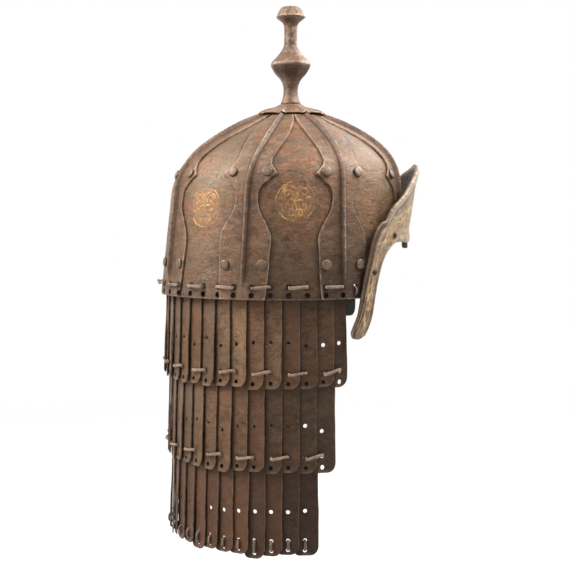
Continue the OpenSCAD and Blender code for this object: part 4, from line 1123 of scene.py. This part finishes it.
def roundedLoop(corners, fillet):
    # Each corner gives two points a fillet away along its sides; corner cutting twice then rounds them
    p = np.array(corners, float)
    back, ahead = np.roll(p, 1, 0) - p, np.roll(p, -1, 0) - p
    step = lambda d: unit(d) * np.minimum(fillet, np.linalg.norm(d, axis=1, keepdims=True) * 0.45)
    q = np.stack([p + step(back), p + step(ahead)], 1).reshape(-1, 3)
    for _ in range(2):
        n = np.roll(q, -1, 0)
        q = np.stack([0.75 * q + 0.25 * n, 0.25 * q + 0.75 * n], 1).reshape(-1, 3)
    return q


def thong(corners, across, seed, wide=lacing["wide"], thick=lacing["thick"]):
    # Flat strap with soft sides carried round a closed loop, its width lying along the direction across
    r = np.random.default_rng(seed)
    path = roundedLoop(corners, lacing["fillet"])
    ahead = unit(np.roll(path, -1, 0) - np.roll(path, 1, 0))
    thin = unit(np.cross(ahead, across))
    flat = np.cross(thin, ahead)
    a = np.arange(lacing["sides"]) * 2 * pi / lacing["sides"]
    t = np.arange(len(path)) / len(path)
    w = wide * r.uniform(0.86, 1.08) * (1 + 0.10 * np.sin(2 * pi * t * 2 + r.uniform(0, 6)))
    h = thick * r.uniform(0.85, 1.1)
    ring = (path[:, None] + flat[:, None] * (w[:, None] * squared(np.cos(a), lacing["round"]))[..., None]
            + thin[:, None] * (h * squared(np.sin(a), lacing["round"]))[None, :, None])
    return ring.reshape(-1, 3), ringFaces(len(path), lacing["sides"], closedPath=True), r.uniform(0.78, 1.16)


def holeAt(row, i, up):
    # Radius and height of the hole that lies up from a strip's lower end
    away, flare = lowEnd - up, radians(rows["flare"])
    return rowR(row) + away * sin(flare), hangZ(row, i) - away * cos(flare)


def frontBar(i, zi, zj, foot, out, swell, slack):
    # Points of a stitch in front, from the hole of strip i to the hole of the strip before it
    a, b = station(i), station(i - 1)
    return [polar(a, foot, zi), polar(a, out, zi + slack[0]),
            polar((a + b) / 2, out + swell, (zi + zj) / 2 + slack.mean()),
            polar(b, out, zj + slack[1]), polar(b, foot, zj)]


def stitch(row, i):
    # Bar over two holes in front, and over the upper holes of the two strips that hang behind
    r = np.random.default_rng(300 * row + i)
    j = i - 1
    hole, zi = holeAt(row, i, rows["laceUp"])
    zj = holeAt(row, j, rows["laceUp"])[1]
    slack = r.uniform(0.2, 1) * lacing["slant"] * np.array([1, -1]) + r.uniform(-0.5, 0.5, 2)
    front = frontBar(i, zi, zj, hole + 1.3, hole + lacing["barOut"], 0.35, slack)
    back, zBack = rowR(row + 1) - lacing["barIn"], hangZ(row + 1, j)
    if i > rows["sides"][row + 1]:
        # No strip hangs behind the foremost hole
        behind = [polar(station(i) - 1.6, back, zBack), polar(station(i), hole - rows["thick"] / 2 - 1.1, zi)]
    else:
        behind = [polar(station(i), back, hangZ(row + 1, i))]
    return thong(front + [polar(station(j), back, zBack)] + behind, upward, 40 * row + i + 500)


def rimStitch(i):
    r = np.random.default_rng(77 + i)
    out, back, z = bowl["rimR"] + lacing["rimBar"], rows["firstR"] - lacing["barIn"], rows["rimHole"]
    slack = r.uniform(-0.3, 0.8) * lacing["slant"] * np.array([1, -1]) + r.uniform(-0.4, 0.4, 2)
    behind = [polar(station(j), back, hangZ(1, j)) for j in (i - 1, i)]
    return thong(frontBar(i, z, z, out - 1.9, out, 0.3, slack) + behind, upward, 900 + i)


def endStitch(a):
    # Upright stitch through the two rim holes that carry an end tab
    out, back = bowl["rimR"] + lacing["rimBar"] - 0.5, tabFace - tab["thick"] - 2.4
    up, low = pinHole["upper"], pinHole["lower"]
    corners = [polar(a, out, up), polar(a, back, up), polar(a, back, low), polar(a, out, low)]
    return thong(corners, polar(a + 90, 1, 0), 950 + int(a), wide=1.0)


def edgeLoop(i):
    # Upright thong of the third row through a strip's two lowest holes
    a, lift, off = station(i), rows["backLift"] if i == 0 else 0, rows["thick"] / 2 + 1.1
    up, zUp = holeAt(3, i, rows["laceUp"])
    low, zLow = holeAt(3, i, rows["lowUp"])
    up, low, zLow = up + lift, low + lift, zLow - 0.71 * longer(3, i)
    corners = [polar(a, up + off, zUp), polar(a, up - off, zUp), polar(a, low - off, zLow),
               polar(a, low + off, zLow), polar(a, (up + low) / 2 + off + 1.3, zLow * 0.55 + zUp * 0.45)]
    points, faces, tone = thong(corners, polar(a + 90, 1, 0), 1200 + i, wide=1.35, thick=0.8)
    return points, faces, tone * 0.5


def lacePiece(name, loops, body, replaced):
    mesh = newMesh(name, *joined(loops), sharp=0)
    addMarks(mesh, tone=np.concatenate([np.full(len(points), tone) for points, _, tone in loops]))
    place(name, mesh, thongLeather, body, [replaced])


def pairFronts(row):
    # Front strip of each stitched pair, from the wearer's left round the back to the right
    return range(rows["sides"][row], 1 - rows["sides"][row], -2)


for row in (1, 2):
    lacePiece("row_%d_stitches" % row, [stitch(row, i) for i in pairFronts(row)], "row_%d" % row,
              "row_%d_lacing" % row)
lacePiece("rim_stitches", [rimStitch(i) for i in pairFronts(1)] + [endStitch(a) for a in endAngles], "bowl",
          "rim_lacing")
lacePiece("row_3_edge_loops", [edgeLoop(i) for i in range(-12, 13)], "row_3", "row_3_thongs")


def endTabs():
    # Rounded leather tabs: a superellipse in rings from the middle out, thickened with soft edges
    share = np.array([0.5, 0.9, 0.975, 1.0, 1.0, 0.975, 0.9, 0.5])[:, None]
    depth = np.array([-1.0, -1.0, -0.8, -0.3, 0.3, 0.8, 1.0, 1.0])[:, None]
    a = np.arange(tab["sides"]) * 2 * pi / tab["sides"]
    face, low, half = tabFace - tab["gap"], tab["middleZ"], tab["thick"] / 2
    wide, high = tab["halfWide"] * squared(np.cos(a), 0.55), tab["halfHigh"] * squared(np.sin(a), 0.55)
    rings = np.stack([face - half + half * depth + 0 * a, share * wide, low + share * high], -1).reshape(-1, 3)
    x, y, z = np.concatenate([rings, [[face - tab["thick"], 0, low], [face, 0, low]]]).T
    faces = poleFaces(len(share), tab["sides"])
    made = [(np.stack([*turnAbout(x, y, radians(angle)), z], -1), faces) for angle in endAngles]
    mesh = newMesh("tabs", *joined(made), sharp=0)
    addMarks(mesh, tone=1.0)
    place("end_tab_leather", mesh, tabLeather, "bowl", ["end_tabs"])


endTabs()
print("lacing made")


# Gold inlay
def ribbon(path, widths, onto):
    # Low ridge along a path of local points: left foot, top and right foot on the surface, closed underneath
    ahead = unit(np.gradient(path, axis=0))
    aside = np.stack([-ahead[:, 1], ahead[:, 0]], 1) * widths[:, None]
    spots = [(path + aside, -0.06), (path + aside * 0.6, gold["high"]), (path - aside * 0.6, gold["high"]),
             (path - aside, -0.06), (path, -0.3)]
    ring = np.stack([onto(*q.T, h) for q, h in spots], 1)
    return ring.reshape(-1, 3), ringFaces(len(path), 5)


def spiral(x, y, r0, r1, start, sweep, count=44):
    t = np.linspace(0, 1, count)
    a, r = np.radians(start + sweep * t), r0 + (r1 - r0) * t ** 0.8
    return np.stack([x + r * np.cos(a), y + r * np.sin(a)], 1)


def bend(points, count=26):
    # Smooth open curve through a few points
    p = np.asarray(points, float)
    t = np.linspace(0, len(p) - 1, count)
    k = np.arange(len(p))
    return np.stack([smoothCurve(t, np.stack([k, p[:, j]], 1)) for j in (0, 1)], 1)


def leafWidths(count, size):
    return size * (0.25 + np.sin(np.linspace(0.05, pi - 0.05, count)) ** 0.7)


def roundel(seed):
    # Round field of scrolls: a rim broken into four arcs, a stem with four pairs of curls and small leaves
    r = np.random.default_rng(seed)
    big, wide, paths = gold["roundelR"], gold["width"], []
    for start, sweep in ((95, 84), (212, 62), (300, 48), (20, 40)):
        circle = spiral(0, 0, big, big, start + r.uniform(-4, 4), sweep, 50)
        circle *= (1 + 0.02 * wobble(np.linspace(0, 1, 50), seed + 400 + start, 1.0))[:, None]
        paths.append((circle, leafWidths(50, wide * 0.8)))
    paths.append((bend([[0, -13], [0.7, -6], [-0.6, 0], [0.5, 6], [0, 12.5]]), leafWidths(26, wide)))
    for side in (-1, 1):
        curls = [spiral(6.4, 6.6, 4.6, 0.8, 205, -430), spiral(6.8, -3.4, 4.2, 0.8, 160, 420),
                 spiral(3.6, -10.2, 2.9, 0.7, 100, -400), spiral(10.6, 2.0, 2.3, 0.6, 200, -360)]
        for curl in curls:
            curl = curl * [side, 1] * r.uniform(0.93, 1.05) + r.uniform(-0.5, 0.5, 2)
            paths.append((curl, leafWidths(len(curl), wide * 0.95)))
        for leaf in ([[0.3, -8], [3, -6.6], [6.4, -8.6]], [[0.2, 0], [3.4, 1.6], [6.6, 0.4]],
                     [[0, 9], [2.2, 11.6], [5.2, 12.4]], [[9.5, -8.5], [11.6, -5.2], [12.6, -1.4]],
                     [[11.4, 6], [10.2, 9.6], [7.4, 12.0]], [[1.0, 3.2], [1.9, 5.6], [1.2, 8.2]]):
            shape = bend(np.array(leaf) * [side, 1] + r.uniform(-0.35, 0.35, 2), 14)
            paths.append((shape, leafWidths(14, wide * 1.15)))
    # Every stroke wavers a little, as cut by hand
    waver = lambda q, n: 0.45 * np.stack([wobble(q[:, 0] / 5 + q[:, 1] / 7, n + j, 1.0) for j in (0, 50)], 1)
    return [(path + waver(path, seed + 600 + n), widths) for n, (path, widths) in enumerate(paths)]


def roundelPiece():
    made = []
    for number, (angle, height) in enumerate(roundelSpots):
        def onto(x, y, h):
            # On the dented face of the inner plate in the middle of which the roundel lies
            z = height + y
            a = angle + np.degrees(x / baseR(z))
            return bowlPoint(a, z, h + plateDent(angle // 45 % 8 + 1, a, z))
        made += [ribbon(path, widths, onto) for path, widths in roundel(31 + number)]
    place("gold_roundels", newMesh("roundels", *joined(made), sharp=0), wornGold, "bowl", [])


def browScrolls():
    # Running scroll: a wave along each half of the band with a curl in each bend, smaller along the arm
    places = np.arange(0, 24.01, 0.25)
    steps = np.linalg.norm(np.diff(browPoint(places, 0.5 + 0 * places, 0), axis=0), axis=1)
    along = np.concatenate([[0], np.cumsum(steps)])
    end = along[-1]
    taper = lambda x, *sizes: np.interp(x, [0, 40, 60, end], sizes)
    x = np.linspace(6, end - 9, 260)
    wave = taper(x, 6.0, 4.6, 2.9, 2.5) * 0.75 * np.sin(x / 6.2)
    strokes = [(np.stack([x, wave], 1), np.full(260, 0.62))]
    for k, at in enumerate(np.arange(9, end - 14, 6.2 * pi / 2)):
        reach, up = taper(at, 4.6, 3.4, 2.2, 1.9), 1 if k % 2 else -1
        curl = spiral(at, up * reach * 0.55, reach, 0.5, -90 * up, 400 * up, 34)
        strokes.append((curl, leafWidths(34, 0.66)))
        leaf = bend([[at + 2, -up * reach * 0.5], [at + 4, -up * reach], [at + 7, -up * reach * 1.1]], 12)
        strokes.append((leaf, leafWidths(12, 0.75)))
    for up in (-1, 1):
        strokes.append((np.stack([x, up * taper(x, 11.0, 8.0, 4.2, 3.9)], 1), np.full(260, 0.32)))
    made = []
    for side in (-1, 1):
        def onto(x, y, h):
            s = np.interp(x, along, places)
            wide = np.linalg.norm(browPoint(s, 0 * s, 0) - browPoint(s, 0 * s + 1, 0), axis=-1)
            v = 0.5 - y / np.maximum(wide, 4)
            face = brow["t"] + brow["relief"] * browFace(v, s) + browDent(side * s, v)
            return browPoint(side * s, v, face + h)
        for path, widths in strokes:
            points, faces = ribbon(path, widths, onto)
            made.append((points, faces if side == 1 else [f[::-1] for f in faces]))
    place("gold_brow_scrolls", newMesh("scrolls", *joined(made), sharp=0), browGold, "bowl", [])


roundelPiece()
browScrolls()
print("gold inlay made")

for cutter in (rimCutter, openingBar):
    bpy.data.objects.remove(cutter)

# Camera, lights and setting; the camera's turn and pitch are in degrees
view = dict(turn=-5.0, away=1.0, height=0.064, pitch=3.3, lens=67.9, shiftX=0.0056)
camera = bpy.data.cameras.new("camera")
camera.lens, camera.shift_x, camera.sensor_width = view["lens"], view["shiftX"], 36
eye = linked("camera", camera)
t = radians(view["turn"])
eye.location = (view["away"] * sin(t), -view["away"] * cos(t), view["height"])
eye.rotation_euler = (radians(90 - view["pitch"]), 0, t)
bpy.context.scene.camera = eye

# Each lamp: azimuth and elevation from the object in degrees, distance, size and power
lamps = dict(left=(-80, 40, 1.2, 0.7, 27), right=(80, 48, 1.2, 0.7, 27), top=(0, 80, 1.0, 0.8, 2.6),
             back=(135, 32, 1.4, 1.0, 8))
for name, (turn, up, away, size, power) in lamps.items():
    lamp = bpy.data.lights.new("lamp_" + name, "AREA")
    lamp.shape, lamp.size, lamp.energy = "DISK", size, power
    holder = linked("lamp_" + name, lamp)
    a, e = radians(turn), radians(up)
    holder.location = np.array([sin(a) * cos(e), -cos(a) * cos(e), sin(e)]) * away + [0, 0, 0.02]
    holder.rotation_euler = (pi / 2 - e, 0, a)


def whiteToCamera(tree):
    # 1 where the camera, a reflection or a glass ray meets the setting, and 0 for all other light
    path = tree.nodes.new("ShaderNodeLightPath")
    seen = calc(tree, "MAXIMUM", path.outputs["Is Camera Ray"], path.outputs["Is Transmission Ray"])
    return calc(tree, "MAXIMUM", seen, path.outputs["Is Glossy Ray"])


def seenWhite(tree, kind, share, other, target):
    # Plain white by the share that is seen so, and the other shader for the rest
    white = node(tree, kind, {"Color": (1, 1, 1, 1), "Strength": 1.0})
    mixed = node(tree, "MixShader", {0: share, 1: other.outputs[0], 2: white.outputs[0]})
    tree.links.new(mixed.outputs[0], target.inputs["Surface"])


world = bpy.data.worlds.new("studio")
world.use_nodes = True
bpy.context.scene.world = world
tree = world.node_tree
tree.nodes.clear()
plain = node(tree, "Background", {"Color": (0.95, 0.97, 1.0, 1), "Strength": 0.11})
seenWhite(tree, "Background", whiteToCamera(tree), plain, node(tree, "OutputWorld"))

reach, depth = 4, -0.3
floorMesh = bpy.data.meshes.new("floor")
corners = [(x * reach, y * reach, depth) for x, y in ((-1, -1), (1, -1), (1, 1), (-1, 1))]
floorMesh.from_pydata(corners, [], [(0, 1, 2, 3)])
floor = linked("floor", floorMesh)
floorMaterial, tree, shader, spot = newMaterial("pale_floor")
mottle = cloud(tree, spot, 3.0, 3.0, 0.5)
grey = blendColor(tree, mottle, (0.80, 0.80, 0.79, 1), (0.84, 0.84, 0.83, 1))
tree.links.new(grey, shader.inputs["Base Color"])
shader.inputs["Roughness"].default_value = 0.9
# The floor's own shadow shows faintly near the object and fades into the white further out
far = node(tree, "VectorMath", {0: spot}, operation="LENGTH").outputs["Value"]
share = times(tree, whiteToCamera(tree), spread(tree, far, 0.35, 1.3, (0.7, 1.0)))
seenWhite(tree, "Emission", share, shader, tree.nodes["Material Output"])
floorMesh.materials.append(floorMaterial)
floor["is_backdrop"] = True

bpy.context.scene.view_settings.view_transform = "Standard"
newBox = [list(map(float, corner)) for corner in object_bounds()]
print("scene ready")
